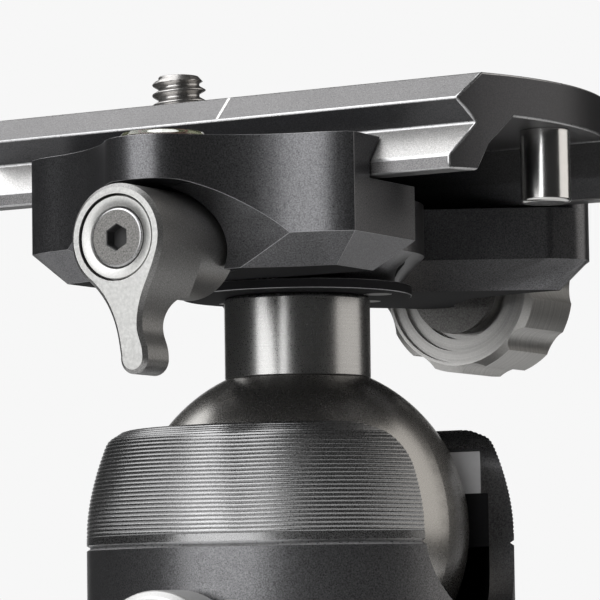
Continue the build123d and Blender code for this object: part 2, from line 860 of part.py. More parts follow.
def jaw_outline(plane):
    """Plan of the movable jaw: round shoulders that turn into hollows beside the level boss."""
    lean = (sin(radians(jaw_turn_angle)), -cos(radians(jaw_turn_angle)))
    over = (jaw_turn[0], jaw_turn[1] - level_y)
    hollow_r = (over[0] ** 2 + over[1] ** 2 - level_boss_r**2) / (
        2 * (level_boss_r - over[0] * lean[0] - over[1] * lean[1])
    )
    hollow = (jaw_turn[0] + hollow_r * lean[0], jaw_turn[1] + hollow_r * lean[1])
    touch_angle = degrees(atan(hollow[0] / (level_y - hollow[1])))
    touch = arc_middle((0, level_y), level_boss_r, touch_angle)
    in_hollow = arc_middle(hollow, -hollow_r, (touch_angle + jaw_turn_angle) / 2)
    # the shoulder's arc starts at the turn with the same slope and ends at the corner
    run = (jaw_half_len - jaw_turn[0], jaw_corner_y - jaw_turn[1])
    shoulder_r = (run[0] ** 2 + run[1] ** 2) / (-2 * (run[0] * lean[0] + run[1] * lean[1]))
    shoulder = (jaw_turn[0] - shoulder_r * lean[0], jaw_turn[1] - shoulder_r * lean[1])
    corner_angle = degrees(asin((jaw_half_len - shoulder[0]) / shoulder_r))
    in_shoulder = arc_middle(shoulder, shoulder_r, (jaw_turn_angle + corner_angle) / 2)
    with BuildSketch(plane) as sketch:
        with BuildLine():
            Line((-jaw_half_len, jaw_back_y), (jaw_half_len, jaw_back_y))
            for side in (1, -1):
                Line((side * jaw_half_len, jaw_back_y), (side * jaw_half_len, jaw_corner_y))
                ThreePointArc(
                    (side * jaw_half_len, jaw_corner_y),
                    (side * in_shoulder[0], in_shoulder[1]),
                    (side * jaw_turn[0], jaw_turn[1]),
                )
                ThreePointArc(
                    (side * jaw_turn[0], jaw_turn[1]),
                    (side * in_hollow[0], in_hollow[1]),
                    (side * touch[0], touch[1]),
                )
            ThreePointArc(touch, (0, level_y - level_boss_r), (-touch[0], touch[1]))
        make_face()
    return sketch.sketch


level_z = lip_top - level_depth
scoop_z = clamp_z + scoop_rise
skirt_taper = degrees(atan(skirt_w / skirt_h))
barrel_hole_y = lever_rear_y + barrel_gap
guide_z = clamp_z + guide_rise
guide_front_y = jaw_back_y - guide_in_jaw
sleeve_back_y = jaw_back_y - rod_seat_t
bore_floor_y = lever_front_y + ring_sunk + ring_t
sleeve_front_y = bore_floor_y + face_gap
rod_front_y = sleeve_front_y + sleeve_head_t
screw_seat_y = bore_floor_y - face_gap

with BuildPart() as movable_jaw:
    extrude(jaw_outline(Plane.XY.offset(skirt_z)), amount=lip_top - skirt_z)
    extrude(jaw_outline(Plane.XY.offset(skirt_z)), amount=-skirt_h, taper=skirt_taper)
    extrude(plate_space(-1), amount=2 * plate_end_r, mode=Mode.SUBTRACT)
    # cove for the lever's sweep and the hole for its barrel
    with BuildSketch(from_side(-jaw_half_len)):
        with Locations((scoop_y, scoop_z)):
            Circle(scoop_r)
    extrude(amount=2 * jaw_half_len, mode=Mode.SUBTRACT)
    with BuildSketch(across(barrel_hole_y)):
        with Locations((0, rod_z)):
            Circle(lever_r + barrel_gap)
    extrude(amount=barrel_hole_y - scoop_y, mode=Mode.SUBTRACT)
    # bores for the lever's sleeve, the rod and the two guide pins
    with BuildSketch(across(sleeve_back_y + body_gap)):
        with Locations((0, rod_z)):
            Circle(lever_sleeve_r + run_gap)
    extrude(amount=lever_r * 2, mode=Mode.SUBTRACT)
    with BuildSketch(across(jaw_back_y)):
        with Locations((0, rod_z)):
            Circle(rod_r + run_gap)
    extrude(amount=lever_r * 2, mode=Mode.SUBTRACT)
    with BuildSketch(across(jaw_back_y)):
        with Locations((guide_x, guide_z), (-guide_x, guide_z)):
            Circle(guide_r + run_gap)
    extrude(amount=guide_in_jaw + body_gap, mode=Mode.SUBTRACT)
    # pocket for the level
    with BuildSketch(Plane.XY.offset(lip_top)):
        with Locations((0, level_y)):
            Circle(level_r)
    extrude(amount=-level_depth, mode=Mode.SUBTRACT)
finish(movable_jaw, "movable_jaw")

# Bubble level: its case, the liquid and the clear lid
level_split = level_z + level_depth - level_wall
with BuildPart() as level_case:
    with BuildSketch(Plane.XY.offset(level_z)):
        with Locations((0, level_y)):
            Circle(level_r)
    extrude(amount=level_split - level_z)
    with BuildSketch(Plane.XY.offset(level_z + level_wall)):
        with Locations((0, level_y)):
            Circle(level_r - level_wall)
    extrude(amount=level_depth, mode=Mode.SUBTRACT)
finish(level_case, "level_case")

with BuildPart() as level_liquid:
    with BuildSketch(Plane.XY.offset(level_z + level_wall)):
        with Locations((0, level_y)):
            Circle(level_r - level_wall)
    extrude(amount=level_split - level_z - level_wall)
finish(level_liquid, "level_liquid")

with BuildPart() as level_lens:
    with BuildSketch(Plane.XY.offset(level_split)):
        with Locations((0, level_y)):
            Circle(level_r)
    extrude(amount=level_wall + level_proud)
    chamfer(level_lens.edges().group_by(Axis.Z)[-1], level_proud * 0.6)
finish(level_lens, "level_lens")


def body_outline(plane):
    """Plan of the clamp's fixed half: a round hub, two wings and the boss of the clamp knob."""
    half_front = sqrt(hub_r**2 - split_y**2)
    root = (hub_r * cos(radians(wing_root_angle)), hub_r * sin(radians(wing_root_angle)))
    touch_angle = radians(knob_boss_angle)
    touch = (knob_boss_r * cos(touch_angle), knob_boss_y + knob_boss_r * sin(touch_angle))
    with BuildSketch(plane) as sketch:
        with BuildLine():
            Line((-half_front, split_y), (half_front, split_y))
            for side in (1, -1):
                ThreePointArc(
                    (side * half_front, split_y), (side * hub_r, 0), (side * root[0], root[1])
                )
                Polyline(
                    (side * root[0], root[1]),
                    (side * wing_near[0], wing_near[1]),
                    (side * wing_tip[0], wing_tip[1]),
                    (side * wing_far[0], wing_far[1]),
                )
                ThreePointArc(
                    (side * wing_far[0], wing_far[1]),
                    (side * wing_sweep[0], wing_sweep[1]),
                    (side * wing_waist[0], wing_waist[1]),
                )
                Line((side * wing_waist[0], wing_waist[1]), (side * touch[0], touch[1]))
            ThreePointArc(touch, (0, boss_face_y), (-touch[0], touch[1]))
        make_face()
        corners = sketch.vertices().filter_by_position(
            Axis.Y, wing_near[1] - face_gap, wing_far[1] + face_gap
        )
        fillet([v for v in corners if abs(v.X) > wing_sweep[0]], wing_corner_r)
    return sketch.sketch


with BuildPart() as clamp_body:
    extrude(body_outline(Plane.XY.offset(skirt_z)), amount=lip_top - skirt_z)
    extrude(body_outline(Plane.XY.offset(skirt_z)), amount=-skirt_h, taper=skirt_taper)
    extrude(plate_space(1), amount=2 * plate_end_r, mode=Mode.SUBTRACT)
    # the boss of the knob ends below the lip
    with BuildSketch(Plane.XY.offset(rod_z + knob_boss_r)):
        with Locations((0, boss_face_y + wing_far[1])):
            Rectangle(2 * hub_r, 2 * boss_face_y)
    extrude(amount=clamp_h, mode=Mode.SUBTRACT)
    # rod, guide pins, spring pocket and mounting screws
    with BuildSketch(across(boss_face_y)):
        with Locations((0, rod_z)):
            Circle(rod_r + run_gap)
    extrude(amount=boss_face_y - split_y, mode=Mode.SUBTRACT)
    with BuildSketch(across(split_y + spring_len + body_gap)):
        with Locations((0, rod_z)):
            Circle(spring_r + spring_wire_r + run_gap)
    extrude(amount=spring_len + body_gap, mode=Mode.SUBTRACT)
    with BuildSketch(across(split_y + guide_in_body)):
        with Locations((guide_x, guide_z), (-guide_x, guide_z)):
            Circle(guide_r)
    extrude(amount=guide_in_body, mode=Mode.SUBTRACT)
    with Locations(Plane.XY.offset(clamp_floor)):
        with Locations(*mount_screw_places):
            CounterSinkHole(m3_r, m3_head_r, counter_sink_angle=90)
finish(clamp_body, "clamp_body")

with BuildPart() as one_mount_screw:
    revolve(countersunk_profile(clamp_floor, clamp_h + flange_t), axis=Axis.Z)

with BuildPart() as clamp_mount_screws:
    with Locations(*mount_screw_places):
        add(one_mount_screw.part)
finish(clamp_mount_screws, "clamp_mount_screws")

with BuildPart() as jaw_guide_pins:
    with BuildSketch(across(split_y + guide_in_body)):
        with Locations((guide_x, guide_z), (-guide_x, guide_z)):
            Circle(guide_r)
    extrude(amount=split_y + guide_in_body - guide_front_y)
finish(jaw_guide_pins, "jaw_guide_pins")

# Spring round the rod that pushes the jaw open
with BuildPart() as jaw_spring:
    with BuildLine():
        coil = Helix(
            pitch=(spring_len - 2 * spring_wire_r) / spring_turns,
            height=spring_len - 2 * spring_wire_r,
            radius=spring_r,
            center=(0, split_y + spring_wire_r, rod_z),
            direction=(0, 1, 0),
        )
    with BuildSketch(Plane(coil @ 0, z_dir=coil % 0)):
        Circle(spring_wire_r)
    sweep()
finish(jaw_spring, "jaw_spring")

knob_end_y = knob_face_y + knob_len
rod_back_y = knob_end_y - knob_nut_t / 2
with BuildPart() as clamp_rod:
    with BuildSketch(across(rod_back_y)):
        with Locations((0, rod_z)):
            Circle(rod_r)
    extrude(amount=rod_back_y - rod_front_y)
finish(clamp_rod, "clamp_rod")


# ================================================================ clamp lever
def lever_outline(plane):
    """Outline of the lever: round head and an arm that leans towards +X."""
    left_start = (lever_r * cos(radians(lever_left_angle)), rod_z + lever_r * sin(radians(lever_left_angle)))
    right_end = (lever_r * cos(radians(lever_right_angle)), rod_z + lever_r * sin(radians(lever_right_angle)))
    left_way = (-sin(radians(lever_left_angle)), cos(radians(lever_left_angle)))
    right_way = (-sin(radians(lever_right_angle)), cos(radians(lever_right_angle)))
    left_points = [(x, rod_z + z) for x, z in lever_left_side]
    right_points = [(x, rod_z + z) for x, z in lever_right_side]
    with BuildSketch(plane) as sketch:
        with BuildLine():
            left = Spline(left_start, *left_points, tangents=(left_way, lever_tip_way))
            right = Spline(*right_points, right_end, tangents=((0, 1), right_way))
            ThreePointArc(left @ 1, (lever_tip_x, rod_z - lever_reach), right @ 0)
            ThreePointArc(right_end, (0, rod_z + lever_r), left_start)
        make_face()
    return sketch.sketch


root_z = rod_z - lever_r - body_gap
with BuildPart() as clamp_lever:
    extrude(lever_outline(across(lever_root_y)), amount=lever_root_y - lever_front_y)
    # the arm is thinner than its root
    with BuildSketch(from_side(-2 * lever_r)):
        with BuildLine():
            arm_y = lever_front_y + lever_arm_t
            turn = lever_root_fillet * sin(radians(45))
            Line((arm_y, root_z - lever_reach), (arm_y, root_z - lever_root_fillet))
            ThreePointArc(
                (arm_y, root_z - lever_root_fillet),
                (arm_y + lever_root_fillet - turn, root_z - lever_root_fillet + turn),
                (arm_y + lever_root_fillet, root_z),
            )
            Polyline(
                (arm_y + lever_root_fillet, root_z),
                (lever_rear_y, root_z),
                (lever_rear_y, root_z - lever_reach),
                (arm_y, root_z - lever_reach),
            )
        make_face()
    extrude(amount=4 * lever_r, mode=Mode.SUBTRACT)
    chamfer(clamp_lever.edges().group_by(Axis.Y)[0], lever_bevel)
    with BuildSketch(across(lever_rear_y)):
        with Locations((0, rod_z)):
            Circle(lever_r)
    extrude(amount=lever_rear_y - lever_root_y)
    with BuildSketch(across(lever_rear_y)):
        with Locations((0, rod_z)):
            Circle(lever_sleeve_r)
    extrude(amount=lever_rear_y - lever_front_y, mode=Mode.SUBTRACT)
    with BuildSketch(across(bore_floor_y)):
        with Locations((0, rod_z)):
            Circle(lever_bore_r)
    extrude(amount=bore_floor_y - lever_front_y, mode=Mode.SUBTRACT)
finish(clamp_lever, "clamp_lever")

# Sleeve that turns in the jaw and runs on the rod
with BuildPart() as lever_sleeve:
    with BuildSketch(lathe_plane(rod_z)):
        with BuildLine():
            Polyline(
                (m3_r, sleeve_front_y),
                (lever_sleeve_r, sleeve_front_y),
                (lever_sleeve_r, sleeve_back_y),
                (rod_r + run_gap, sleeve_back_y),
                (rod_r + run_gap, rod_front_y - face_gap),
                (m3_r, rod_front_y - face_gap),
                close=True,
            )
        make_face()
    revolve(axis=axis_along_y(rod_z))
finish(lever_sleeve, "lever_sleeve")

with BuildPart() as lever_ring:
    with BuildSketch(lathe_plane(rod_z)):
        with BuildLine():
            Polyline(
                (ring_inner_r, bore_floor_y),
                (ring_inner_r, bore_floor_y - ring_t * 0.6),
                (ring_r - lever_bevel, bore_floor_y - ring_t),
                (ring_r, bore_floor_y - ring_t + lever_bevel),
                (ring_r, bore_floor_y),
                close=True,
            )
        make_face()
    revolve(axis=axis_along_y(rod_z))
finish(lever_ring, "lever_ring")

with BuildPart() as lever_screw:
    with BuildSketch(across(screw_seat_y)):
        with Locations((0, rod_z)):
            Circle(lever_screw_r)
    extrude(amount=lever_screw_t)
    chamfer(lever_screw.edges().group_by(Axis.Y)[0], face_gap * 3)
    with BuildSketch(across(screw_seat_y - lever_screw_t + lever_hex_depth)):
        with Locations((0, rod_z)):
            RegularPolygon(lever_hex_r, 6, rotation=30)
    extrude(amount=lever_hex_depth, mode=Mode.SUBTRACT)
    with BuildSketch(across(rod_front_y - body_gap)):
        with Locations((0, rod_z)):
            Circle(m3_r)
    extrude(amount=rod_front_y - body_gap - screw_seat_y)
finish(lever_screw, "lever_screw")

# ================================================================ clamp knob
with BuildPart() as knob_washer:
    with BuildSketch(across(boss_face_y + face_gap + knob_washer_t)):
        with Locations((0, rod_z)):
            Circle(knob_washer_r)
            Circle(rod_r + run_gap, mode=Mode.SUBTRACT)
    extrude(amount=knob_washer_t)
finish(knob_washer, "knob_washer")

with BuildPart() as clamp_knob:
    with BuildSketch(lathe_plane(rod_z)):
        steps = [(knob_hub_r, knob_face_y)]
        for radius, depth in knob_steps:
            steps += [(steps[-1][0], knob_face_y + depth), (radius, knob_face_y + depth)]
        with BuildLine():
            Polyline(
                (rod_r + run_gap, knob_face_y),
                *steps,
                (steps[-1][0], knob_face_y),
                (knob_r - foot_edge, knob_face_y),
                (knob_r, knob_face_y + foot_edge),
                (knob_r, knob_end_y - foot_edge),
                (knob_r - foot_edge, knob_end_y),
                (knob_nut_r + body_gap, knob_end_y),
                (knob_nut_r + body_gap, knob_end_y - knob_nut_t),
                (rod_r + run_gap, knob_end_y - knob_nut_t),
                close=True,
            )
        make_face()
    revolve(axis=axis_along_y(rod_z))
    with BuildSketch(across(knob_end_y)):
        with Locations((0, rod_z)):
            with PolarLocations(knob_r + knob_flute_r - knob_flute_depth, knob_flutes):
                Circle(knob_flute_r)
    extrude(amount=knob_len, mode=Mode.SUBTRACT)
finish(clamp_knob, "clamp_knob")

with BuildPart() as clamp_knob_nut:
    with BuildSketch(across(knob_end_y)):
        with Locations((0, rod_z)):
            Circle(knob_nut_r)
    extrude(amount=knob_nut_t)
    with BuildSketch(across(rod_back_y)):
        with Locations((0, rod_z)):
            Circle(rod_r + run_gap)
    extrude(amount=knob_nut_t, mode=Mode.SUBTRACT)
finish(clamp_knob_nut, "clamp_knob_nut")

# ================================================================ quick-release plate
with BuildPart() as plate:
    with BuildSketch(from_side(plate_shift - plate_end_r)):
        with BuildLine():
            half = [
                (channel_mouth_half, 0),
                (plate_half_w, 0),
                (plate_half_w, plate_foot_t),
                (plate_v_half, plate_v_rise),
                (plate_tip_half, plate_tip_rise),
                (plate_top_half, plate_t),
            ]
            inside = [
                (channel_top_half, channel_depth),
                (channel_knee_half, channel_knee_rise),
            ]
            right = [(y, plate_z + z) for y, z in half]
            left = [(-y, plate_z + z) for y, z in reversed(half)]
            roof_left = [(-y, plate_z + z) for y, z in reversed(inside)]
            roof_right = [(y, plate_z + z) for y, z in inside]
            Polyline(*right, *left, *roof_left, *roof_right, close=True)
        make_face()
    extrude(amount=2 * plate_end_r)
    with BuildSketch(Plane.XY.offset(plate_z)):
        with Locations((plate_shift, 0)):
            Circle(plate_end_r)
    extrude(amount=plate_t, mode=Mode.INTERSECT)
    with BuildSketch(Plane.XY.offset(channel_z)):
        with Locations((plate_shift, 0)):
            SlotOverall(2 * slot_half_len, 2 * slot_half_w)
    extrude(amount=plate_t, mode=Mode.SUBTRACT)
    with BuildSketch(Plane.XY.offset(plate_top)):
        with Locations((plate_shift, pad_place), (plate_shift, -pad_place)):
            SlotOverall(2 * pad_half_len, 2 * pad_half_w)
    extrude(amount=-pad_sunk, mode=Mode.SUBTRACT)
finish(plate, "plate")

with BuildPart() as plate_pads:
    with BuildSketch(Plane.XY.offset(plate_top - pad_sunk)):
        with Locations((plate_shift, pad_place), (plate_shift, -pad_place)):
            SlotOverall(2 * pad_half_len, 2 * pad_half_w)
    extrude(amount=pad_sunk + pad_proud)
finish(plate_pads, "plate_pads")

for name, side in (("stop_pin_right", 1), ("stop_pin_left", -1)):
    with BuildPart() as stop_pin:
        with BuildSketch(Plane.XY.offset(channel_z)):
            with Locations((plate_shift + side * pin_place, 0)):
                Circle(pin_r)
        extrude(amount=-(channel_depth + pin_reach))
        chamfer(stop_pin.edges().group_by(Axis.Z)[0], face_gap * 5)
    finish(stop_pin, name)

washer_z = channel_z - face_gap - camera_washer_t
head_top = washer_z - face_gap
camera_thread_z = plate_top + camera_thread_rise
with BuildPart() as camera_screw_washer:
    with BuildSketch(Plane.XY.offset(washer_z)):
        with Locations((camera_screw_place, 0)):
            Circle(camera_washer_r)
            Circle(camera_neck_r + run_gap, mode=Mode.SUBTRACT)
    extrude(amount=camera_washer_t)
finish(camera_screw_washer, "camera_screw_washer")

with BuildPart() as camera_screw:
    with BuildSketch(Plane.XY.offset(head_top)):
        with Locations((camera_screw_place, 0)):
            Circle(camera_head_r)
    extrude(amount=-camera_head_t)
    chamfer(camera_screw.edges().group_by(Axis.Z)[0], body_gap)
    with BuildSketch(Plane.XY.offset(head_top - camera_head_t)):
        with Locations((camera_screw_place, 0)):
            RegularPolygon(hex_key_r, 6)
    extrude(amount=camera_head_t * 0.7, mode=Mode.SUBTRACT)
    with BuildSketch(Plane.XY.offset(head_top)):
        with Locations((camera_screw_place, 0)):
            Circle(camera_neck_r)
    extrude(amount=camera_thread_z - head_top)
    with BuildSketch(Plane.XY.offset(camera_thread_z)):
        with Locations((camera_screw_place, 0)):
            Circle(camera_screw_r)
    extrude(amount=plate_top + camera_screw_reach - camera_thread_z)
    chamfer(camera_screw.edges().group_by(Axis.Z)[-1], body_gap)
finish(camera_screw, "camera_screw")

print("ball centre", ball_z, "clamp underside", clamp_z, "rod", rod_z, "plate top", plate_top)
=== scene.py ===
import json
import math

import bmesh
import bpy
from mathutils import Matrix, Vector


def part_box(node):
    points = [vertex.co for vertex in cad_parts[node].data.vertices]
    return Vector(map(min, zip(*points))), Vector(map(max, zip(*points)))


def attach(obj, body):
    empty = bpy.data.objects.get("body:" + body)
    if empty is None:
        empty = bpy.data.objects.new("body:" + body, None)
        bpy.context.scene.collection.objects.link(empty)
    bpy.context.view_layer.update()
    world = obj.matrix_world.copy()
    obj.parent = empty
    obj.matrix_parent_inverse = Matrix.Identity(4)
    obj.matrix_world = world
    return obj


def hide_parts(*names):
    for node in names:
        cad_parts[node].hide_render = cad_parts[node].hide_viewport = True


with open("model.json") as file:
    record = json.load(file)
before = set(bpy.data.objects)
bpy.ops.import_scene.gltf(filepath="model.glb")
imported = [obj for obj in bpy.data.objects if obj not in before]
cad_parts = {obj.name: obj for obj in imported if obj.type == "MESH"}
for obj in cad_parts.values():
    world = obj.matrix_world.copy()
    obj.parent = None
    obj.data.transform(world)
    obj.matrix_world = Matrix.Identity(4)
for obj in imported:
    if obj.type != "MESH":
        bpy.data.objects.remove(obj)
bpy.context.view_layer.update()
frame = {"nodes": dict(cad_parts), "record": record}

nodes = frame["nodes"]
scene = bpy.context.scene
scene.view_settings.view_transform = "Standard"
bodyOf = {node: body for body, members in frame["record"]["behaviour"]["bodies"].items() for node in members}
slotOf = {row["node"]: row["material_slot"] for row in frame["record"]["subparts"]}
print("frame loaded,", len(nodes), "pieces")

mm = 0.001
ballLow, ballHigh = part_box("ball")
ballCentre = (ballLow + ballHigh) / 2
upwards = Vector((0, 0, 1))

print("camera")
cameraView = {
    "azimuth": 30.62,    # degrees round from looking along +Y
    "distance": 0.395,    # from the ball's axis
    "height": -0.0087,    # over the ball's centre
    "pitch": 5.04,
    "yaw": 0.05,
    "roll": 0.83,
    "lens": 210.2,
    "sensor": 36,
}
azimuth = math.radians(cameraView["azimuth"])
toCamera = Vector((math.sin(azimuth), -math.cos(azimuth), 0))
toRight = Vector((math.cos(azimuth), math.sin(azimuth), 0))


def placeCamera(view):
    yaw = math.radians(view["yaw"])
    pitch = math.radians(view["pitch"])
    roll = math.radians(view["roll"])
    level = toRight * math.sin(yaw) - toCamera * math.cos(yaw)
    forward = level * math.cos(pitch) + upwards * math.sin(pitch)
    side = toRight * math.cos(yaw) + toCamera * math.sin(yaw)
    over = side.cross(forward)
    right = side * math.cos(roll) - over * math.sin(roll)
    top = side * math.sin(roll) + over * math.cos(roll)
    turn = Matrix((right, top, -forward)).transposed().to_4x4()
    data = bpy.data.cameras.new("mainCamera")
    data.lens = view["lens"]
    data.sensor_width = view["sensor"]
    data.clip_start = 0.01
    data.clip_end = 20
    camera = bpy.data.objects.new("mainCamera", data)
    place = ballCentre + toCamera * view["distance"] + upwards * view["height"]
    camera.matrix_world = Matrix.Translation(place) @ turn
    scene.collection.objects.link(camera)
    scene.camera = camera


placeCamera(cameraView)

print("studio")
studio = {
    "background": 0.93,    # seen behind the object
    "backReach": 0.965,    # how far round the bright backdrop shows in glossy pieces
    "backFade": 0.03,    # softness of that edge
    "darkSide": 0.025,    # the unlit room, in glossy pieces
    "ambient": 0.05,
    "floorColour": (0.86, 0.86, 0.86),
    "floorRoughness": 0.6,
    "floorRadius": 0.75,
    "floorShown": 0.28,    # radius of the part that glossy pieces show
    "aimHeight": 0.02,    # over the ball's centre, where the softboxes point
}
softboxes = {
    # degrees to the right of the camera, elevation, distance, width, height, watts, colour
    "leftBox": (-42, 22, 0.9, 0.86, 1.35, 10.4, (1.0, 1.0, 1.0)),
    "rightBox": (90, 27, 0.9, 0.95, 1.1, 3.5, (1.0, 0.965, 0.92)),
    "topBox": (-105, 57, 0.9, 1.1, 1.0, 7.6, (1.0, 1.0, 1.0)),
}


def addNode(tree, kind, **settings):
    node = tree.nodes.new(kind)
    for key, value in settings.items():
        setattr(node, key, value)
    return node


def makeWorld():
    world = bpy.data.worlds.new("studioWorld")
    world.use_nodes = True
    scene.world = world
    tree = world.node_tree
    tree.nodes.clear()
    link = tree.links.new
    output = addNode(tree, "ShaderNodeOutputWorld")
    ambient = addNode(tree, "ShaderNodeBackground")
    ambient.inputs["Strength"].default_value = studio["ambient"]
    backdrop = addNode(tree, "ShaderNodeBackground")
    backdrop.inputs["Strength"].default_value = studio["background"]
    room = addNode(tree, "ShaderNodeBackground")
    for light in (ambient, backdrop, room):
        light.inputs["Color"].default_value = (1, 1, 1, 1)
    path = addNode(tree, "ShaderNodeLightPath")
    # the backdrop stands behind the object, the room in front of it is dark
    place = addNode(tree, "ShaderNodeTexCoord")
    facing = addNode(tree, "ShaderNodeVectorMath", operation="DOT_PRODUCT")
    facing.inputs[1].default_value = -toCamera
    reach = addNode(tree, "ShaderNodeMapRange", interpolation_type="SMOOTHSTEP")
    reach.inputs["From Min"].default_value = studio["backReach"] - studio["backFade"]
    reach.inputs["From Max"].default_value = studio["backReach"] + studio["backFade"]
    reach.inputs["To Min"].default_value = studio["darkSide"]
    reach.inputs["To Max"].default_value = studio["background"]
    seen = addNode(tree, "ShaderNodeMath", operation="MAXIMUM")
    first = addNode(tree, "ShaderNodeMixShader")
    second = addNode(tree, "ShaderNodeMixShader")
    link(place.outputs["Generated"], facing.inputs[0])
    link(facing.outputs["Value"], reach.inputs["Value"])
    link(reach.outputs["Result"], room.inputs["Strength"])
    link(path.outputs["Is Camera Ray"], seen.inputs[0])
    link(path.outputs["Is Transmission Ray"], seen.inputs[1])
    link(path.outputs["Is Glossy Ray"], first.inputs["Fac"])
    link(ambient.outputs[0], first.inputs[1])
    link(room.outputs[0], first.inputs[2])
    link(seen.outputs[0], second.inputs["Fac"])
    link(first.outputs[0], second.inputs[1])
    link(backdrop.outputs[0], second.inputs[2])
    link(second.outputs[0], output.inputs["Surface"])


def makeSoftbox(name, spec):
    turn, lift, distance, width, height, watts, colour = spec
    turn, lift = math.radians(turn), math.radians(lift)
    level = toCamera * math.cos(turn) + toRight * math.sin(turn)
    aim = ballCentre + upwards * studio["aimHeight"]
    place = aim + (level * math.cos(lift) + upwards * math.sin(lift)) * distance
    data = bpy.data.lights.new(name, "AREA")
    data.shape = "RECTANGLE"
    data.size = width
    data.size_y = height
    data.energy = watts
    data.color = colour
    lamp = bpy.data.objects.new(name, data)
    lamp.location = place
    lamp.rotation_euler = (aim - place).to_track_quat("-Z", "Y").to_euler()
    lamp.visible_camera = False
    scene.collection.objects.link(lamp)


def makeFloor():
    mesh = bpy.data.meshes.new("studioFloor")
    grid = bmesh.new()
    bmesh.ops.create_circle(grid, cap_ends=True, radius=studio["floorRadius"], segments=64)
    grid.to_mesh(mesh)
    grid.free()
    floor = bpy.data.objects.new("studioFloor", mesh)
    scene.collection.objects.link(floor)
    material = bpy.data.materials.new("floorPale")
    material.use_nodes = True
    tree = material.node_tree
    link = tree.links.new
    shader = tree.nodes["Principled BSDF"]
    shader.inputs["Base Color"].default_value = (*studio["floorColour"], 1)
    shader.inputs["Roughness"].default_value = studio["floorRoughness"]
    # polished pieces show the floor only near the object's foot
    far = addNode(tree, "ShaderNodeEmission")
    far.inputs["Strength"].default_value = studio["darkSide"]
    place = addNode(tree, "ShaderNodeTexCoord")
    radius = addNode(tree, "ShaderNodeVectorMath", operation="LENGTH")
    reach = addNode(tree, "ShaderNodeMapRange", interpolation_type="SMOOTHSTEP")
    reach.inputs["From Min"].default_value = studio["floorShown"] * 0.5
    reach.inputs["From Max"].default_value = studio["floorShown"]
    path = addNode(tree, "ShaderNodeLightPath")
    glossy = addNode(tree, "ShaderNodeMath", operation="MULTIPLY")
    mix = addNode(tree, "ShaderNodeMixShader")
    link(place.outputs["Object"], radius.inputs[0])
    link(radius.outputs["Value"], reach.inputs["Value"])
    link(reach.outputs["Result"], glossy.inputs[0])
    link(path.outputs["Is Glossy Ray"], glossy.inputs[1])
    link(glossy.outputs[0], mix.inputs["Fac"])
    link(shader.outputs[0], mix.inputs[1])
    link(far.outputs[0], mix.inputs[2])
    link(mix.outputs[0], tree.nodes["Material Output"].inputs["Surface"])
    mesh.materials.append(material)


makeWorld()
makeFloor()
for boxName, boxSpec in softboxes.items():
    makeSoftbox(boxName, boxSpec)

# effects that several finishes share
print("effects")


def startGroup(name, numbers, outputs):
    group = bpy.data.node_groups.new(name, "ShaderNodeTree")
    group.interface.new_socket("Vector", in_out="INPUT", socket_type="NodeSocketVector")
    for label, value in numbers.items():
        socket = group.interface.new_socket(label, in_out="INPUT", socket_type="NodeSocketFloat")
        socket.default_value = value
    for label in outputs:
        group.interface.new_socket(label, in_out="OUTPUT", socket_type="NodeSocketFloat")
    return group, addNode(group, "NodeGroupInput"), addNode(group, "NodeGroupOutput")


def shadeFrom(group, value, amount, output):
    centred = addNode(group, "ShaderNodeMath", operation="SUBTRACT")
    centred.inputs[1].default_value = 0.5
    scaled = addNode(group, "ShaderNodeMath", operation="MULTIPLY_ADD")
    scaled.inputs[2].default_value = 1
    group.links.new(value, centred.inputs[0])
    group.links.new(centred.outputs[0], scaled.inputs[0])
    group.links.new(amount, scaled.inputs[1])
    group.links.new(scaled.outputs[0], output)


def makeGrainGroup():
    # blasted and anodised metal: fine speckle over slow, soft patches
    group, given, result = startGroup(
        "blastedGrain",
        {"Grain": 4000, "Contrast": 0.5, "Patches": 120, "Patch Contrast": 0.15},
        ("Shade", "Relief"),
    )
    link = group.links.new
    fine = addNode(group, "ShaderNodeTexNoise")
    fine.inputs["Detail"].default_value = 2
    fine.inputs["Roughness"].default_value = 0.6
    slow = addNode(group, "ShaderNodeTexNoise")
    slow.inputs["Detail"].default_value = 3
    for texture, label in ((fine, "Grain"), (slow, "Patches")):
        link(given.outputs["Vector"], texture.inputs["Vector"])
        link(given.outputs[label], texture.inputs["Scale"])
    both = addNode(group, "ShaderNodeMath", operation="MULTIPLY")
    shadeFrom(group, fine.outputs["Fac"], given.outputs["Contrast"], both.inputs[0])
    shadeFrom(group, slow.outputs["Fac"], given.outputs["Patch Contrast"], both.inputs[1])
    link(both.outputs[0], result.inputs["Shade"])
    link(fine.outputs["Fac"], result.inputs["Relief"])
    return group


def makeTurnedGroup():
    # lathe lines round the piece's own Z axis, on its sides and on its faces
    group, given, result = startGroup("turnedLines", {"Lines": 6000, "Contrast": 0.3}, ("Shade", "Relief"))
    link = group.links.new
    split = addNode(group, "ShaderNodeSeparateXYZ")
    flat = addNode(group, "ShaderNodeCombineXYZ")
    length = addNode(group, "ShaderNodeVectorMath", operation="LENGTH")
    place = addNode(group, "ShaderNodeMath", operation="ADD")
    lines = addNode(group, "ShaderNodeTexNoise", noise_dimensions="1D")
    lines.inputs["Detail"].default_value = 2
    link(given.outputs["Vector"], split.inputs[0])
    link(split.outputs["X"], flat.inputs["X"])
    link(split.outputs["Y"], flat.inputs["Y"])
    link(flat.outputs[0], length.inputs[0])
    link(length.outputs["Value"], place.inputs[0])
    link(split.outputs["Z"], place.inputs[1])
    link(place.outputs[0], lines.inputs["W"])
    link(given.outputs["Lines"], lines.inputs["Scale"])
    shadeFrom(group, lines.outputs["Fac"], given.outputs["Contrast"], result.inputs["Shade"])
    link(lines.outputs["Fac"], result.inputs["Relief"])
    return group


grainGroup = makeGrainGroup()
turnedGroup = makeTurnedGroup()

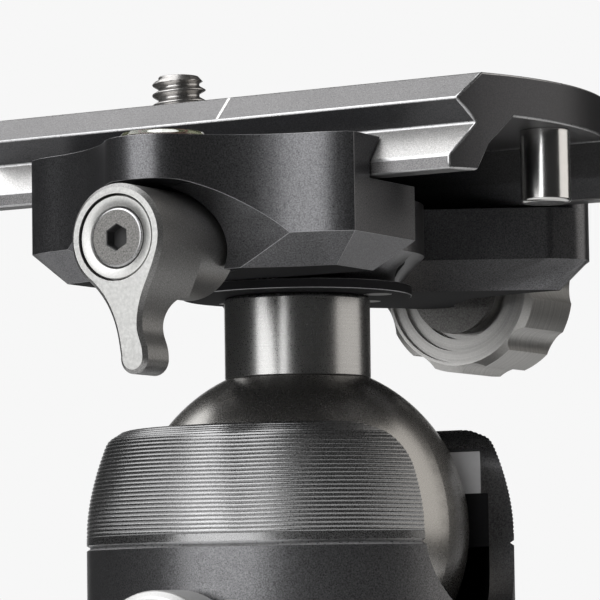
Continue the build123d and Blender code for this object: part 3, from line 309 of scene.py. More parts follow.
print("finishes")
finishes = {}
plainLook = {
    # what a look has unless it says otherwise
    "metallic": 0, "specular": 0.5, "coat": 0, "coatRoughness": 0.1, "transmission": 0, "ior": 1.5,
    "patches": 120, "patchContrast": 0.15, "roughSpread": 0.05,
    "bump": 0.3, "bumpHeight": 0.01,    # height in millimetres
    "axis": (0, 0, 0), "turn": (0, 0, 0),    # of the lathe lines
    "lines": None, "lineContrast": 0, "lineRelief": 1,
    "turnedRound": None,    # how far lathe marks spread the highlights
    "letsLightIn": False,
}
plainInputs = {
    "Metallic": "metallic", "Specular IOR Level": "specular", "Coat Weight": "coat",
    "Coat Roughness": "coatRoughness", "Transmission Weight": "transmission", "IOR": "ior",
}


def addTurnedLines(tree, mapping, look, shade, relief):
    turned = addNode(tree, "ShaderNodeGroup", node_tree=turnedGroup)
    turned.inputs["Lines"].default_value = look["lines"]
    turned.inputs["Contrast"].default_value = look["lineContrast"]
    product = addNode(tree, "ShaderNodeMath", operation="MULTIPLY")
    total = addNode(tree, "ShaderNodeMath", operation="MULTIPLY_ADD")
    total.inputs[1].default_value = look["lineRelief"]
    tree.links.new(mapping.outputs[0], turned.inputs["Vector"])
    tree.links.new(shade, product.inputs[0])
    tree.links.new(turned.outputs["Shade"], product.inputs[1])
    tree.links.new(turned.outputs["Relief"], total.inputs[0])
    tree.links.new(relief, total.inputs[2])
    return product.outputs[0], total.outputs[0]


def letLightIn(tree, shader):
    # clear pieces cast hardly any shadow on what is inside them
    clear = addNode(tree, "ShaderNodeBsdfTransparent")
    path = addNode(tree, "ShaderNodeLightPath")
    mix = addNode(tree, "ShaderNodeMixShader")
    tree.links.new(path.outputs["Is Shadow Ray"], mix.inputs["Fac"])
    tree.links.new(shader.outputs[0], mix.inputs[1])
    tree.links.new(clear.outputs[0], mix.inputs[2])
    tree.links.new(mix.outputs[0], tree.nodes["Material Output"].inputs["Surface"])


def makeFinish(name, look):
    material = bpy.data.materials.new(name)
    material.use_nodes = True
    tree = material.node_tree
    link = tree.links.new
    shader = tree.nodes["Principled BSDF"]
    for label, key in plainInputs.items():
        shader.inputs[label].default_value = look[key]
    if look["turnedRound"]:
        shader.inputs["Anisotropic"].default_value = look["turnedRound"]
        shader.inputs["Anisotropic Rotation"].default_value = 0.25
        tangent = addNode(tree, "ShaderNodeTangent", direction_type="RADIAL", axis="Z")
        link(tangent.outputs[0], shader.inputs["Tangent"])
    place = addNode(tree, "ShaderNodeTexCoord")
    mapping = addNode(tree, "ShaderNodeMapping", vector_type="TEXTURE")
    mapping.inputs["Location"].default_value = look["axis"]
    mapping.inputs["Rotation"].default_value = look["turn"]
    link(place.outputs["Object"], mapping.inputs["Vector"])
    grain = addNode(tree, "ShaderNodeGroup", node_tree=grainGroup)
    grain.inputs["Grain"].default_value = look["grain"]
    grain.inputs["Contrast"].default_value = look["contrast"]
    grain.inputs["Patches"].default_value = look["patches"]
    grain.inputs["Patch Contrast"].default_value = look["patchContrast"]
    link(mapping.outputs[0], grain.inputs["Vector"])
    shade, relief = grain.outputs["Shade"], grain.outputs["Relief"]
    if look["lines"]:
        shade, relief = addTurnedLines(tree, mapping, look, shade, relief)
    tint = addNode(tree, "ShaderNodeVectorMath", operation="SCALE")
    tint.inputs[0].default_value = look["colour"]
    link(shade, tint.inputs["Scale"])
    link(tint.outputs[0], shader.inputs["Base Color"])
    # noise runs from about 0.25 to 0.75
    polish = addNode(tree, "ShaderNodeMapRange")
    polish.inputs["From Min"].default_value = 0.25
    polish.inputs["From Max"].default_value = 0.75
    polish.inputs["To Min"].default_value = look["roughness"] - look["roughSpread"]
    polish.inputs["To Max"].default_value = look["roughness"] + look["roughSpread"]
    link(grain.outputs["Relief"], polish.inputs["Value"])
    link(polish.outputs["Result"], shader.inputs["Roughness"])
    bump = addNode(tree, "ShaderNodeBump")
    bump.inputs["Strength"].default_value = look["bump"]
    bump.inputs["Distance"].default_value = look["bumpHeight"] * mm
    link(relief, bump.inputs["Height"])
    link(bump.outputs[0], shader.inputs["Normal"])
    if look["letsLightIn"]:
        letLightIn(tree, shader)
    finishes[name] = material


looks = {
    # material slots of the solids
    "housing_black": {
        "colour": (0.145, 0.145, 0.15), "roughness": 0.33, "metallic": 0.93, "grain": 6500,
        "contrast": 2.3, "bump": 0.35,
    },
    "base_black": {
        "colour": (0.12, 0.12, 0.125), "roughness": 0.4, "metallic": 0.8, "grain": 4000,
        "contrast": 0.5,
    },
    "clamp_black": {
        "colour": (0.12, 0.12, 0.125), "roughness": 0.32, "metallic": 0.92, "grain": 6500,
        "contrast": 2.1, "bump": 0.35, "patches": 90, "patchContrast": 0.25,
    },
    "plate_grey": {
        "colour": (0.16, 0.158, 0.16), "roughness": 0.38, "metallic": 0.93, "grain": 7200,
        "contrast": 1.9, "bump": 0.5, "patches": 160, "patchContrast": 0.2,
    },
    "lever_titanium": {
        "colour": (0.285, 0.283, 0.28), "roughness": 0.38, "metallic": 0.93, "grain": 7200,
        "contrast": 1.6, "bump": 0.4,
    },
    "knob_silver": {
        "colour": (0.4, 0.395, 0.385), "roughness": 0.36, "metallic": 0.9, "grain": 5200,
        "contrast": 0.5, "axis": (0, 0, 0.07975), "turn": (math.pi / 2, 0, 0), "lines": 2600,
        "lineContrast": 0.7, "lineRelief": 0.6,
    },
    "grip_black": {
        "colour": (0.03, 0.03, 0.031), "roughness": 0.6, "grain": 2600, "contrast": 0.4, "bump": 0.5,
    },
    "lock_black": {"colour": (0.032, 0.032, 0.035), "roughness": 0.4, "grain": 7200, "contrast": 0.5},
    "stem_silver": {
        "colour": (0.42, 0.417, 0.412), "roughness": 0.29, "metallic": 0.99, "grain": 7200,
        "contrast": 0.4, "turnedRound": 0.45, "lines": 5200, "lineContrast": 0.2, "lineRelief": 0.3,
        "bump": 0.25,
    },
    "ball_grey": {
        "colour": (0.36, 0.35, 0.335), "roughness": 0.27, "metallic": 0.96, "grain": 7200,
        "contrast": 0.25,
    },
    "seat_grey": {"colour": (0.5, 0.5, 0.51), "roughness": 0.5, "grain": 1800, "contrast": 0.12},
    "steel_plain": {
        "colour": (0.58, 0.58, 0.59), "roughness": 0.26, "metallic": 1, "grain": 3000, "contrast": 0.2,
    },
    "screw_dark": {
        "colour": (0.165, 0.162, 0.157), "roughness": 0.42, "metallic": 0.92, "grain": 5200,
        "contrast": 2.2,
    },
    "pin_chrome": {
        "colour": (0.66, 0.655, 0.645), "roughness": 0.2, "metallic": 1, "grain": 1500, "contrast": 0.1,
        "roughSpread": 0.02, "bump": 0.05, "lines": 2500, "lineContrast": 0.06,
    },
    "brass_plain": {
        "colour": (0.6, 0.47, 0.25), "roughness": 0.3, "metallic": 1, "grain": 3000, "contrast": 0.2,
    },
    "washer_white": {"colour": (0.75, 0.75, 0.73), "roughness": 0.5, "grain": 1500, "contrast": 0.1},
    "pad_rubber": {
        "colour": (0.025, 0.025, 0.026), "roughness": 0.7, "grain": 2200, "contrast": 0.4, "bump": 0.6,
    },
    "level_clear": {
        "colour": (0.93, 0.95, 0.93), "roughness": 0.06, "transmission": 1, "grain": 900,
        "contrast": 0.03, "roughSpread": 0.01, "bump": 0.02, "ior": 1.49, "letsLightIn": True,
    },
    "level_green": {
        "colour": (0.4, 0.41, 0.3), "roughness": 0.12, "grain": 900, "contrast": 0.08,
        "patchContrast": 0.1, "roughSpread": 0.01, "bump": 0.02, "coat": 0.5,
    },
    "level_metal": {
        "colour": (0.34, 0.2, 0.17), "roughness": 0.3, "metallic": 0.9, "grain": 2500, "contrast": 0.3,
    },
    "dial_grey": {"colour": (0.1, 0.1, 0.11), "roughness": 0.38, "grain": 2600, "contrast": 0.25},
    # single faces, broken edges and added pieces
    "housingRidge": {
        "colour": (0.265, 0.265, 0.267), "roughness": 0.28, "metallic": 0.97, "grain": 7200,
        "contrast": 1.0, "bump": 0.2,
    },
    "bodyBlack": {
        "colour": (0.125, 0.125, 0.13), "roughness": 0.33, "metallic": 0.92, "grain": 6500,
        "contrast": 2.1, "bump": 0.35, "patches": 90, "patchContrast": 0.25,
    },
    "clampEdge": {
        "colour": (0.3, 0.3, 0.31), "roughness": 0.35, "metallic": 0.9, "grain": 3000, "contrast": 0.8,
    },
    "plateEdge": {
        "colour": (0.42, 0.42, 0.425), "roughness": 0.3, "metallic": 0.95, "grain": 3000,
        "contrast": 0.7,
    },
    # painted highlight for the plate's up-facing lower flanks
    "platePaintedLightFlank": {
        "colour": (0.56, 0.555, 0.55), "roughness": 0.42, "metallic": 0.93, "grain": 7200,
        "contrast": 1.4, "bump": 0.5,
    },
    # painted shade for the plate's down-facing upper flanks
    "platePaintedShadeFlank": {
        "colour": (0.075, 0.075, 0.078), "roughness": 0.42, "metallic": 0.93, "grain": 7200,
        "contrast": 1.6,
    },
    # painted shade for the plate's round ends
    "platePaintedShadeEnd": {
        "colour": (0.07, 0.07, 0.074), "roughness": 0.38, "metallic": 0.9, "grain": 7200,
        "contrast": 1.2,
    },
    # painted shade: near-black with little shine, for undersides, the flange and the seat's foot that lie in
    # shade
    "paintedShadeBlack": {
        "colour": (0.012, 0.012, 0.013), "roughness": 0.7, "specular": 0.06, "grain": 7200,
        "contrast": 0.5,
    },
    "leverBright": {
        "colour": (0.42, 0.42, 0.412), "roughness": 0.36, "metallic": 0.97, "grain": 2600,
        "contrast": 0.9, "bump": 0.4,
    },
    "ringSatin": {
        "colour": (0.48, 0.48, 0.47), "roughness": 0.4, "metallic": 0.97, "grain": 5200,
        "contrast": 0.5,
    },
    "threadSteel": {
        "colour": (0.45, 0.44, 0.43), "roughness": 0.3, "metallic": 0.97, "grain": 5200,
        "contrast": 0.8,
    },
    "frictionSilver": {
        "colour": (0.5, 0.5, 0.495), "roughness": 0.42, "metallic": 0.85, "grain": 5200,
        "contrast": 0.4,
    },
    "markWhite": {"colour": (0.85, 0.85, 0.84), "roughness": 0.5, "grain": 2500, "contrast": 0.1},
}
for finishName, finishLook in looks.items():
    makeFinish(finishName, {**plainLook, **finishLook})

paintedShadeFinishOf = {"knob_washer": "screw_dark"}    # the knob's washer is painted dark, for the shade at the knob's centre
for nodeName, cadObject in nodes.items():
    finish = finishes[paintedShadeFinishOf.get(nodeName, slotOf[nodeName])]
    if not cadObject.material_slots:
        cadObject.data.materials.append(finish)
    for cadSlot in cadObject.material_slots:
        cadSlot.material = finish

# pieces taken from their solids, with their edges broken
print("machined pieces")
merging = {"distance": 0.0005, "flatness": 0.4}    # millimetres and degrees, of the solids' triangles
edgeBreak = {"angle": 28, "segments": 2, "weight": 90}


def addFinishes(mesh, *finishNames):
    first = len(mesh.materials)
    for finishName in finishNames:
        mesh.materials.append(finishes[finishName])
    return range(first, len(mesh.materials))


def newPiece(name, mesh, *finishNames):
    piece = bpy.data.objects.new(name, mesh)
    scene.collection.objects.link(piece)
    addFinishes(mesh, *finishNames)
    return piece


def meshFrom(name, work):
    mesh = bpy.data.meshes.new(name)
    work.to_mesh(mesh)
    work.free()
    return mesh


def mergedMesh(nodeName):
    # the solid's mesh with its flat faces made whole
    source = nodes[nodeName].data
    mesh = bpy.data.meshes.new(nodeName + "Copy")
    mesh.from_pydata([v.co for v in source.vertices], [], [p.vertices[:] for p in source.polygons])
    work = bmesh.new()
    work.from_mesh(mesh)
    bmesh.ops.remove_doubles(work, verts=work.verts, dist=merging["distance"] * mm)
    bmesh.ops.dissolve_limit(
        work, angle_limit=math.radians(merging["flatness"]), verts=work.verts, edges=work.edges,
        use_dissolve_boundaries=False,
    )
    work.to_mesh(mesh)
    work.free()
    return mesh


def cutAcross(mesh, height, keepBelow=False):
    work = bmesh.new()
    work.from_mesh(mesh)
    everything = work.verts[:] + work.edges[:] + work.faces[:]
    bmesh.ops.bisect_plane(
        work, geom=everything, plane_co=(0, 0, height), plane_no=(0, 0, 1), clear_outer=keepBelow
    )
    if keepBelow:
        bmesh.ops.holes_fill(work, edges=[edge for edge in work.edges if edge.is_boundary], sides=0)
    work.to_mesh(mesh)
    work.free()


def bakeModifiers(piece):
    graph = bpy.context.evaluated_depsgraph_get()
    mesh = bpy.data.meshes.new_from_object(piece.evaluated_get(graph))
    piece.modifiers.clear()
    piece.data = mesh
    return piece


def revolveLine(line, segments):
    # closed line of (radius, height) pairs in millimetres turned round Z
    work = bmesh.new()
    rings = []
    for index in range(segments):
        angle = 2 * math.pi * index / segments
        cosine, sine = math.cos(angle), math.sin(angle)
        rings.append([work.verts.new((r * cosine * mm, r * sine * mm, z * mm)) for r, z in line])
    count = len(line)
    for index, ring in enumerate(rings):
        following = rings[(index + 1) % segments]
        for k in range(count):
            after = (k + 1) % count
            work.faces.new((ring[k], following[k], following[after], ring[after]))
    bmesh.ops.recalc_face_normals(work, faces=work.faces)
    return work


def settle(piece, nodeNames, body=None, sharp=32):
    # the piece stands for its solids and moves with their body
    if sharp:
        piece.data.set_sharp_from_angle(angle=math.radians(sharp))
        piece.data.polygons.foreach_set("use_smooth", [True] * len(piece.data.polygons))
    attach(piece, body or bodyOf[nodeNames[0]])
    if nodeNames:
        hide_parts(*nodeNames)


def breakEdges(pieceName, nodeName, width, finish=None, edgeFinish=None, sortFaces=None):
    finish = finish or slotOf[nodeName]
    piece = newPiece(pieceName, mergedMesh(nodeName), finish, edgeFinish or finish)
    angle = math.radians(edgeBreak["angle"])
    piece.data.polygons.foreach_set("use_smooth", [True] * len(piece.data.polygons))
    piece.data.set_sharp_from_angle(angle=angle)
    bevel = piece.modifiers.new("brokenEdges", "BEVEL")
    bevel.width = width * mm
    bevel.segments = edgeBreak["segments"]
    bevel.limit_method = "ANGLE"
    bevel.angle_limit = angle
    bevel.use_clamp_overlap = True
    bevel.material = 1
    weighted = piece.modifiers.new("flatFaces", "WEIGHTED_NORMAL")
    weighted.keep_sharp = True
    weighted.weight = edgeBreak["weight"]
    bakeModifiers(piece)
    if sortFaces:
        sortFaces(piece.data)
    settle(piece, [nodeName], sharp=None)


faceSorting = {
    # how far a face's normal has to turn, apart from the two lengths
    "plateWaist": 5.6,    # over the plate's foot, millimetres
    # these pick the plate's faces that get painted light and shade
    "platePaintedShadeEnd": 0.25,
    "plateUpright": 0.3,
    "platePaintedLightFlank": 0.5,
    "underside": 0.95,
    "socket": 1.7,    # from the screw's axis to the corners of its key socket, millimetres
}


def sortPlatePaintedLight(mesh):
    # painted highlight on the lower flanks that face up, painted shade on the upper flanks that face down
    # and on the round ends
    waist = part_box("plate")[0].z + faceSorting["plateWaist"] * mm
    upright = faceSorting["plateUpright"]
    flank, dark, end = addFinishes(mesh, "platePaintedLightFlank", "platePaintedShadeFlank", "platePaintedShadeEnd")
    for face in mesh.polygons:
        x, y, z = abs(face.normal.x), abs(face.normal.y), face.normal.z
        if face.material_index == 1:
            continue
        if x > faceSorting["platePaintedShadeEnd"] and abs(z) < upright:
            face.material_index = end
        elif y > faceSorting["platePaintedLightFlank"] and z > upright and face.center.z < waist:
            face.material_index = flank
        elif y > faceSorting["platePaintedLightFlank"] and z < -upright:
            face.material_index = dark


def sortUndersideShade(mesh):
    # painted shade: faces turned down are painted near-black, so that what lies under them reflects dark
    under, = addFinishes(mesh, "paintedShadeBlack")
    for face in mesh.polygons:
        if face.normal.z < -faceSorting["underside"]:
            face.material_index = under


def sortScrewSocketShade(mesh):
    # painted shade: black inside the key's socket
    low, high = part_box("lever_screw")
    middle = (low.z + high.z) / 2
    inside, = addFinishes(mesh, "grip_black")
    for face in mesh.polygons:
        corners = [mesh.vertices[index].co for index in face.vertices]
        farthest = max(math.hypot(corner.x, corner.z - middle) for corner in corners)
        if farthest < faceSorting["socket"] * mm:
            face.material_index = inside


machined = {
    # piece: its solid, width of the broken edge in millimetres, finish, finish of that edge, face sorter
    # the plate's flanks and ends get painted highlight and painted shade
    "quickPlate": ("plate", 0.2, None, "plateEdge", sortPlatePaintedLight),
    # the jaw's underside gets painted shade
    "clampJaw": ("movable_jaw", 0.14, None, "clampEdge", sortUndersideShade),
    "ballStem": ("stem", 0.12, None, "plateEdge", None),
    "tensionKnob": ("clamp_knob", 0.18, None, None, None),
    "leverScrew": ("lever_screw", 0.1, None, "plateEdge", sortScrewSocketShade),
    "stopPinRight": ("stop_pin_right", 0.12, None, None, None),
    "stopPinLeft": ("stop_pin_left", 0.12, None, None, None),
    "lockKnobBody": ("main_lock_knob", 0.2, None, None, None),
    "lockKnobGrip": ("main_lock_grip", 0.25, None, None, None),
    "lockKnobCap": ("main_lock_cap", 0.15, None, None, None),
    "frictionDial": ("friction_dial", 0.1, None, None, None),
    "panKnob": ("pan_lock_knob", 0.15, None, None, None),
    "panKnobCap": ("pan_lock_cap", 0.12, None, None, None),
    "tripodBase": ("base_plate", 0.15, None, None, None),
    # the frame's underside gets painted shade
    "clampFrame": ("clamp_body", 0.14, "bodyBlack", "clampEdge", sortUndersideShade),
    "frictionKnob": ("friction_knob", 0.3, "frictionSilver", None, None),
    # the flange under the clamp is painted near-black for the shade it lies in
    "swivelFlange": ("stem_flange", 0.08, "paintedShadeBlack", "clampEdge", None),
}
for pieceName, spec in machined.items():
    breakEdges(pieceName, *spec)

# bright cut front, satin sides
print("lever")
leverCut = {"edge": 0.1, "facing": 0.85}    # faces this far turned to the front are bright


def sortLeverFaces(mesh):
    bright, = addFinishes(mesh, "leverBright")
    for face in mesh.polygons:
        face.material_index = bright if -face.normal.y > leverCut["facing"] else 0


breakEdges("clampLever", "clamp_lever", leverCut["edge"], sortFaces=sortLeverFaces)
leverRing = {
    # radius, depth behind the front of the solid; a flat rim that dips towards the screw
    "line": ((4.42, 2.0), (4.42, 0.1), (4.32, 0.0), (3.8, 0.0), (3.34, 0.16), (3.22, 0.34), (3.22, 2.0)),
    "segments": 120,
    "sharp": 24,
}


def makeLeverRing():
    low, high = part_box("lever_ring")
    front = low.y / mm
    axisHeight = (low.z + high.z) / 2
    line = [(radius, -front - depth) for radius, depth in leverRing["line"]]
    work = revolveLine(line, leverRing["segments"])
    turn = Matrix.Translation((0, 0, axisHeight)) @ Matrix.Rotation(math.pi / 2, 4, "X")
    bmesh.ops.transform(work, matrix=turn, verts=work.verts)
    piece = newPiece("leverRing", meshFrom("leverRing", work), "ringSatin")
    settle(piece, ["lever_ring"], sharp=leverRing["sharp"])


makeLeverRing()

# trees that make what repeats
print("node trees")
socketKinds = {float: "NodeSocketFloat", int: "NodeSocketInt", str: "NodeSocketMaterial"}


def startTree(name, given):
    # given: label and default value; a text value names a finish
    tree = bpy.data.node_groups.new(name, "GeometryNodeTree")
    tree.interface.new_socket("Geometry", in_out="INPUT", socket_type="NodeSocketGeometry")
    for label, value in given.items():
        socket = tree.interface.new_socket(label, in_out="INPUT", socket_type=socketKinds[type(value)])
        socket.default_value = finishes[value] if isinstance(value, str) else value
    tree.interface.new_socket("Geometry", in_out="OUTPUT", socket_type="NodeSocketGeometry")
    return tree, addNode(tree, "NodeGroupInput"), addNode(tree, "NodeGroupOutput")


def endTree(tree, inputs, output, geometry):
    real = addNode(tree, "GeometryNodeRealizeInstances")
    paint = addNode(tree, "GeometryNodeSetMaterial")
    tree.links.new(geometry, real.inputs["Geometry"])
    tree.links.new(real.outputs["Geometry"], paint.inputs["Geometry"])
    tree.links.new(inputs.outputs["Finish"], paint.inputs["Material"])
    tree.links.new(paint.outputs["Geometry"], output.inputs["Geometry"])
    return tree


def runTree(piece, tree, values):
    modifier = piece.modifiers.new(tree.name, "NODES")
    modifier.node_group = tree
    for item in tree.interface.items_tree:
        if item.in_out == "INPUT" and item.name in values:
            value = values[item.name]
            modifier[item.identifier] = finishes[value] if isinstance(value, str) else value
    return bakeModifiers(piece)


def treePiece(name, tree, values, place):
    # a piece that its tree makes from nothing, then put in its place
    piece = newPiece(name, bpy.data.meshes.new(name))
    runTree(piece, tree, values)
    piece.data.transform(place)
    return piece


def makeRidgeTree():
    # sinks a turned surface in even rounds; "along" and "inward" come with its points
    tree, inputs, output = startTree(
        "turnedRidges",
        {"Pitch": 0.455 * mm, "Depth": 0.085 * mm, "Sharpness": 4.8, "Finish": "housing_black"},
    )
    link = tree.links.new
    along = addNode(tree, "GeometryNodeInputNamedAttribute", data_type="FLOAT")
    along.inputs["Name"].default_value = "along"
    inward = addNode(tree, "GeometryNodeInputNamedAttribute", data_type="FLOAT_VECTOR")
    inward.inputs["Name"].default_value = "inward"
    rounds = addNode(tree, "ShaderNodeMath", operation="DIVIDE")
    angle = addNode(tree, "ShaderNodeMath", operation="MULTIPLY")
    angle.inputs[1].default_value = math.pi
    wave = addNode(tree, "ShaderNodeMath", operation="COSINE")
    plain = addNode(tree, "ShaderNodeMath", operation="ABSOLUTE")
    sharp = addNode(tree, "ShaderNodeMath", operation="POWER")
    sunk = addNode(tree, "ShaderNodeMath", operation="MULTIPLY")
    offset = addNode(tree, "ShaderNodeVectorMath", operation="SCALE")
    place = addNode(tree, "GeometryNodeSetPosition")
    link(along.outputs["Attribute"], rounds.inputs[0])
    link(inputs.outputs["Pitch"], rounds.inputs[1])
    link(rounds.outputs[0], angle.inputs[0])
    link(angle.outputs[0], wave.inputs[0])
    link(wave.outputs[0], plain.inputs[0])
    link(plain.outputs[0], sharp.inputs[0])
    link(inputs.outputs["Sharpness"], sharp.inputs[1])
    link(sharp.outputs[0], sunk.inputs[0])
    link(inputs.outputs["Depth"], sunk.inputs[1])
    link(inward.outputs["Attribute"], offset.inputs[0])
    link(sunk.outputs[0], offset.inputs["Scale"])
    link(inputs.outputs["Geometry"], place.inputs["Geometry"])
    link(offset.outputs[0], place.inputs["Offset"])
    return endTree(tree, inputs, output, place.outputs["Geometry"])


def makeRowTree():
    # bars in a straight row along X, centred on the middle of the row
    tree, inputs, output = startTree(
        "rowOfRibs",
        {"Count": 40, "Spacing": 1.2 * mm, "Length": 4 * mm, "Width": 0.5 * mm, "Height": 0.3 * mm,
         "Finish": "pad_rubber"},
    )
    link = tree.links.new
    last = addNode(tree, "ShaderNodeMath", operation="SUBTRACT")
    last.inputs[1].default_value = 1
    reach = addNode(tree, "ShaderNodeMath", operation="MULTIPLY")
    half = addNode(tree, "ShaderNodeMath", operation="MULTIPLY")
    half.inputs[1].default_value = -0.5
    first = addNode(tree, "ShaderNodeCombineXYZ")
    step = addNode(tree, "ShaderNodeCombineXYZ")
    row = addNode(tree, "GeometryNodeMeshLine")
    size = addNode(tree, "ShaderNodeCombineXYZ")
    bar = addNode(tree, "GeometryNodeMeshCube")
    put = addNode(tree, "GeometryNodeInstanceOnPoints")
    link(inputs.outputs["Count"], last.inputs[0])
    link(last.outputs[0], reach.inputs[0])
    link(inputs.outputs["Spacing"], reach.inputs[1])
    link(reach.outputs[0], half.inputs[0])
    link(half.outputs[0], first.inputs["X"])
    link(inputs.outputs["Spacing"], step.inputs["X"])
    link(inputs.outputs["Count"], row.inputs["Count"])
    link(first.outputs[0], row.inputs["Start Location"])
    link(step.outputs[0], row.inputs["Offset"])
    for label, axis in (("Width", "X"), ("Length", "Y"), ("Height", "Z")):
        link(inputs.outputs[label], size.inputs[axis])
    link(size.outputs[0], bar.inputs["Size"])
    link(row.outputs["Mesh"], put.inputs["Points"])
    link(bar.outputs["Mesh"], put.inputs["Instance"])
    return endTree(tree, inputs, output, put.outputs["Instances"])


def makeRoundTree():
    # bars round a circle in the XY plane, each lying along its radius
    tree, inputs, output = startTree(
        "roundOfMarks",
        {"Count": 36, "Radius": 6 * mm, "Length": 0.9 * mm, "Width": 0.16 * mm, "Height": 0.08 * mm,
         "Finish": "markWhite"},
    )
    link = tree.links.new
    size = addNode(tree, "ShaderNodeCombineXYZ")
    bar = addNode(tree, "GeometryNodeMeshCube")
    away = addNode(tree, "ShaderNodeCombineXYZ")
    shifted = addNode(tree, "GeometryNodeTransform")
    points = addNode(tree, "GeometryNodeMeshLine")
    points.inputs["Offset"].default_value = (0, 0, 0)
    index = addNode(tree, "GeometryNodeInputIndex")
    share = addNode(tree, "ShaderNodeMath", operation="DIVIDE")
    angle = addNode(tree, "ShaderNodeMath", operation="MULTIPLY")
    angle.inputs[1].default_value = 2 * math.pi
    turn = addNode(tree, "ShaderNodeCombineXYZ")
    put = addNode(tree, "GeometryNodeInstanceOnPoints")
    for label, axis in (("Length", "X"), ("Width", "Y"), ("Height", "Z")):
        link(inputs.outputs[label], size.inputs[axis])
    link(size.outputs[0], bar.inputs["Size"])
    link(inputs.outputs["Radius"], away.inputs["X"])
    link(bar.outputs["Mesh"], shifted.inputs["Geometry"])
    link(away.outputs[0], shifted.inputs["Translation"])
    link(inputs.outputs["Count"], points.inputs["Count"])
    link(index.outputs[0], share.inputs[0])
    link(inputs.outputs["Count"], share.inputs[1])
    link(share.outputs[0], angle.inputs[0])
    link(angle.outputs[0], turn.inputs["Z"])
    link(points.outputs["Mesh"], put.inputs["Points"])
    link(shifted.outputs["Geometry"], put.inputs["Instance"])
    link(turn.outputs[0], put.inputs["Rotation"])
    return endTree(tree, inputs, output, put.outputs["Instances"])


ridgeTree = makeRidgeTree()
rowTree = makeRowTree()
roundTree = makeRoundTree()

# fine ridges turned into the housing's dome
print("housing ridges")
ridges = {
    "pitch": 0.455,    # along the surface, millimetres
    "depth": 0.085,
    "start": -0.55,    # this and the two feet are over the ball's centre
    "bandFoot": -1.2,    # of the plain band under the ridges
    "grooveFoot": -1.9,    # of the bright groove under the band
    "grooveRadius": 23,
    "under": 0.012,    # of the crests, under the plain surface
    "sharpness": 4.8,
    "segments": 288,
    "steps": (0.0, 0.14, 0.3, 0.5, 0.7, 0.86),    # shares of a pitch where the surface bends
    "turned": 0.3,    # faces this far turned outwards are ridged
    "level": 0.5,    # and so are faces this far turned up
    "sharp": 50,
}
dome = {
    # points of the housing beyond these are its outer line
    "foot": -1.36,    # this and the shoulder are over the ball's centre
    "radius": 21.35,
    "shoulder": 9.0,
    "shoulderRadius": 18.8,
}
ringBody = {"below": 1, "outside": 0.5, "lip": 0.06, "over": 0.3, "inside": 10}    # round the ridged line
bossCover = {"radius": 9.4, "reach": 26.5, "segments": 96}    # keeps the lock's boss whole


def domeProfile():
    # outer line of the housing's dome from its foot upwards, as radius and height, away from the notch
    line = {}
    for vertex in nodes["housing"].data.vertices:
        x, y, z = vertex.co / mm
        radius = math.hypot(x, y)
        rise = z - ballCentre.z / mm
        onShoulder = rise > dome["shoulder"] and radius > dome["shoulderRadius"]
        outer = rise > dome["foot"] and (radius > dome["radius"] or onShoulder)
        if outer and x < 0 and abs(y) < 0.5 * -x:
            line[round(z, 3)] = max(radius, line.get(round(z, 3), 0))
    return [(radius, z) for z, radius in sorted(line.items())]


def alongProfile(profile, distance):
    # radius, height and direction at this distance from the profile's foot
    for (r0, z0), (r1, z1) in zip(profile, profile[1:]):
        step = math.hypot(r1 - r0, z1 - z0)
        if distance <= step:
            share = distance / step
            slope = ((r1 - r0) / step, (z1 - z0) / step)
            return r0 + (r1 - r0) * share, z0 + (z1 - z0) * share, slope
        distance -= step
    return None


def ridgedLine():
    # the profile cut into steps, with each point's distance along it and its way inward
    profile = domeProfile()
    start = ballCentre.z / mm + ridges["start"]
    length = sum(math.hypot(b[0] - a[0], b[1] - a[1]) for a, b in zip(profile, profile[1:]))
    line, along, inward = [], [], []
    foot = start - profile[0][1]
    place = 0
    while foot + place < length:
        for share in ridges["steps"]:
            point = alongProfile(profile, foot + place + share * ridges["pitch"])
            if point:
                radius, z, slope = point
                line.append((radius - ridges["under"] * slope[1], z + ridges["under"] * slope[0]))
                along.append((place + share * ridges["pitch"]) * mm)
                inward.append((-slope[1], slope[0]))
        place += ridges["pitch"]
    return line, along, inward, profile


def makeRidgeRing():
    # a solid ring whose upper outside carries the ridges
    line, along, inward, profile = ridgedLine()
    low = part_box("housing")[0].z / mm - ringBody["below"]
    outer = profile[0][0] + ringBody["outside"]
    over, inside = ringBody["over"], ringBody["inside"]
    topRadius, topZ = line[-1]
    before = [(outer, low), (outer, line[0][1] - ringBody["lip"])]
    after = [(topRadius - over, topZ + over), (inside, topZ + over), (inside, low)]
    mesh = meshFrom("ridgeRing", revolveLine(before + line + after, ridges["segments"]))
    # points outside the ridged line stay where they are
    along = [0.0] * len(before) + along + [0.0] * len(after)
    inward = [(0.0, 0.0)] * len(before) + inward + [(0.0, 0.0)] * len(after)
    ways = []
    for index in range(ridges["segments"]):
        angle = 2 * math.pi * index / ridges["segments"]
        for outwards, lift in inward:
            ways += [outwards * math.cos(angle), outwards * math.sin(angle), lift]
    mesh.attributes.new("along", "FLOAT", "POINT").data.foreach_set("value", along * ridges["segments"])
    mesh.attributes.new("inward", "FLOAT_VECTOR", "POINT").data.foreach_set("vector", ways)
    return runTree(newPiece("ridgeRing", mesh), ridgeTree, {
        "Pitch": ridges["pitch"] * mm, "Depth": ridges["depth"] * mm, "Sharpness": ridges["sharpness"],
        "Finish": "housing_black",
    })


def makeBossCover():
    low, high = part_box("main_lock_bush")
    place = Matrix.Translation((0, bossCover["reach"] / 2 * mm, (low.z + high.z) / 2))
    work = bmesh.new()
    bmesh.ops.create_cone(
        work, cap_ends=True, segments=bossCover["segments"], radius1=bossCover["radius"] * mm,
        radius2=bossCover["radius"] * mm, depth=bossCover["reach"] * mm,
        matrix=place @ Matrix.Rotation(math.pi / 2, 4, "X"),
    )
    return newPiece("bossCover", meshFrom("bossCover", work))


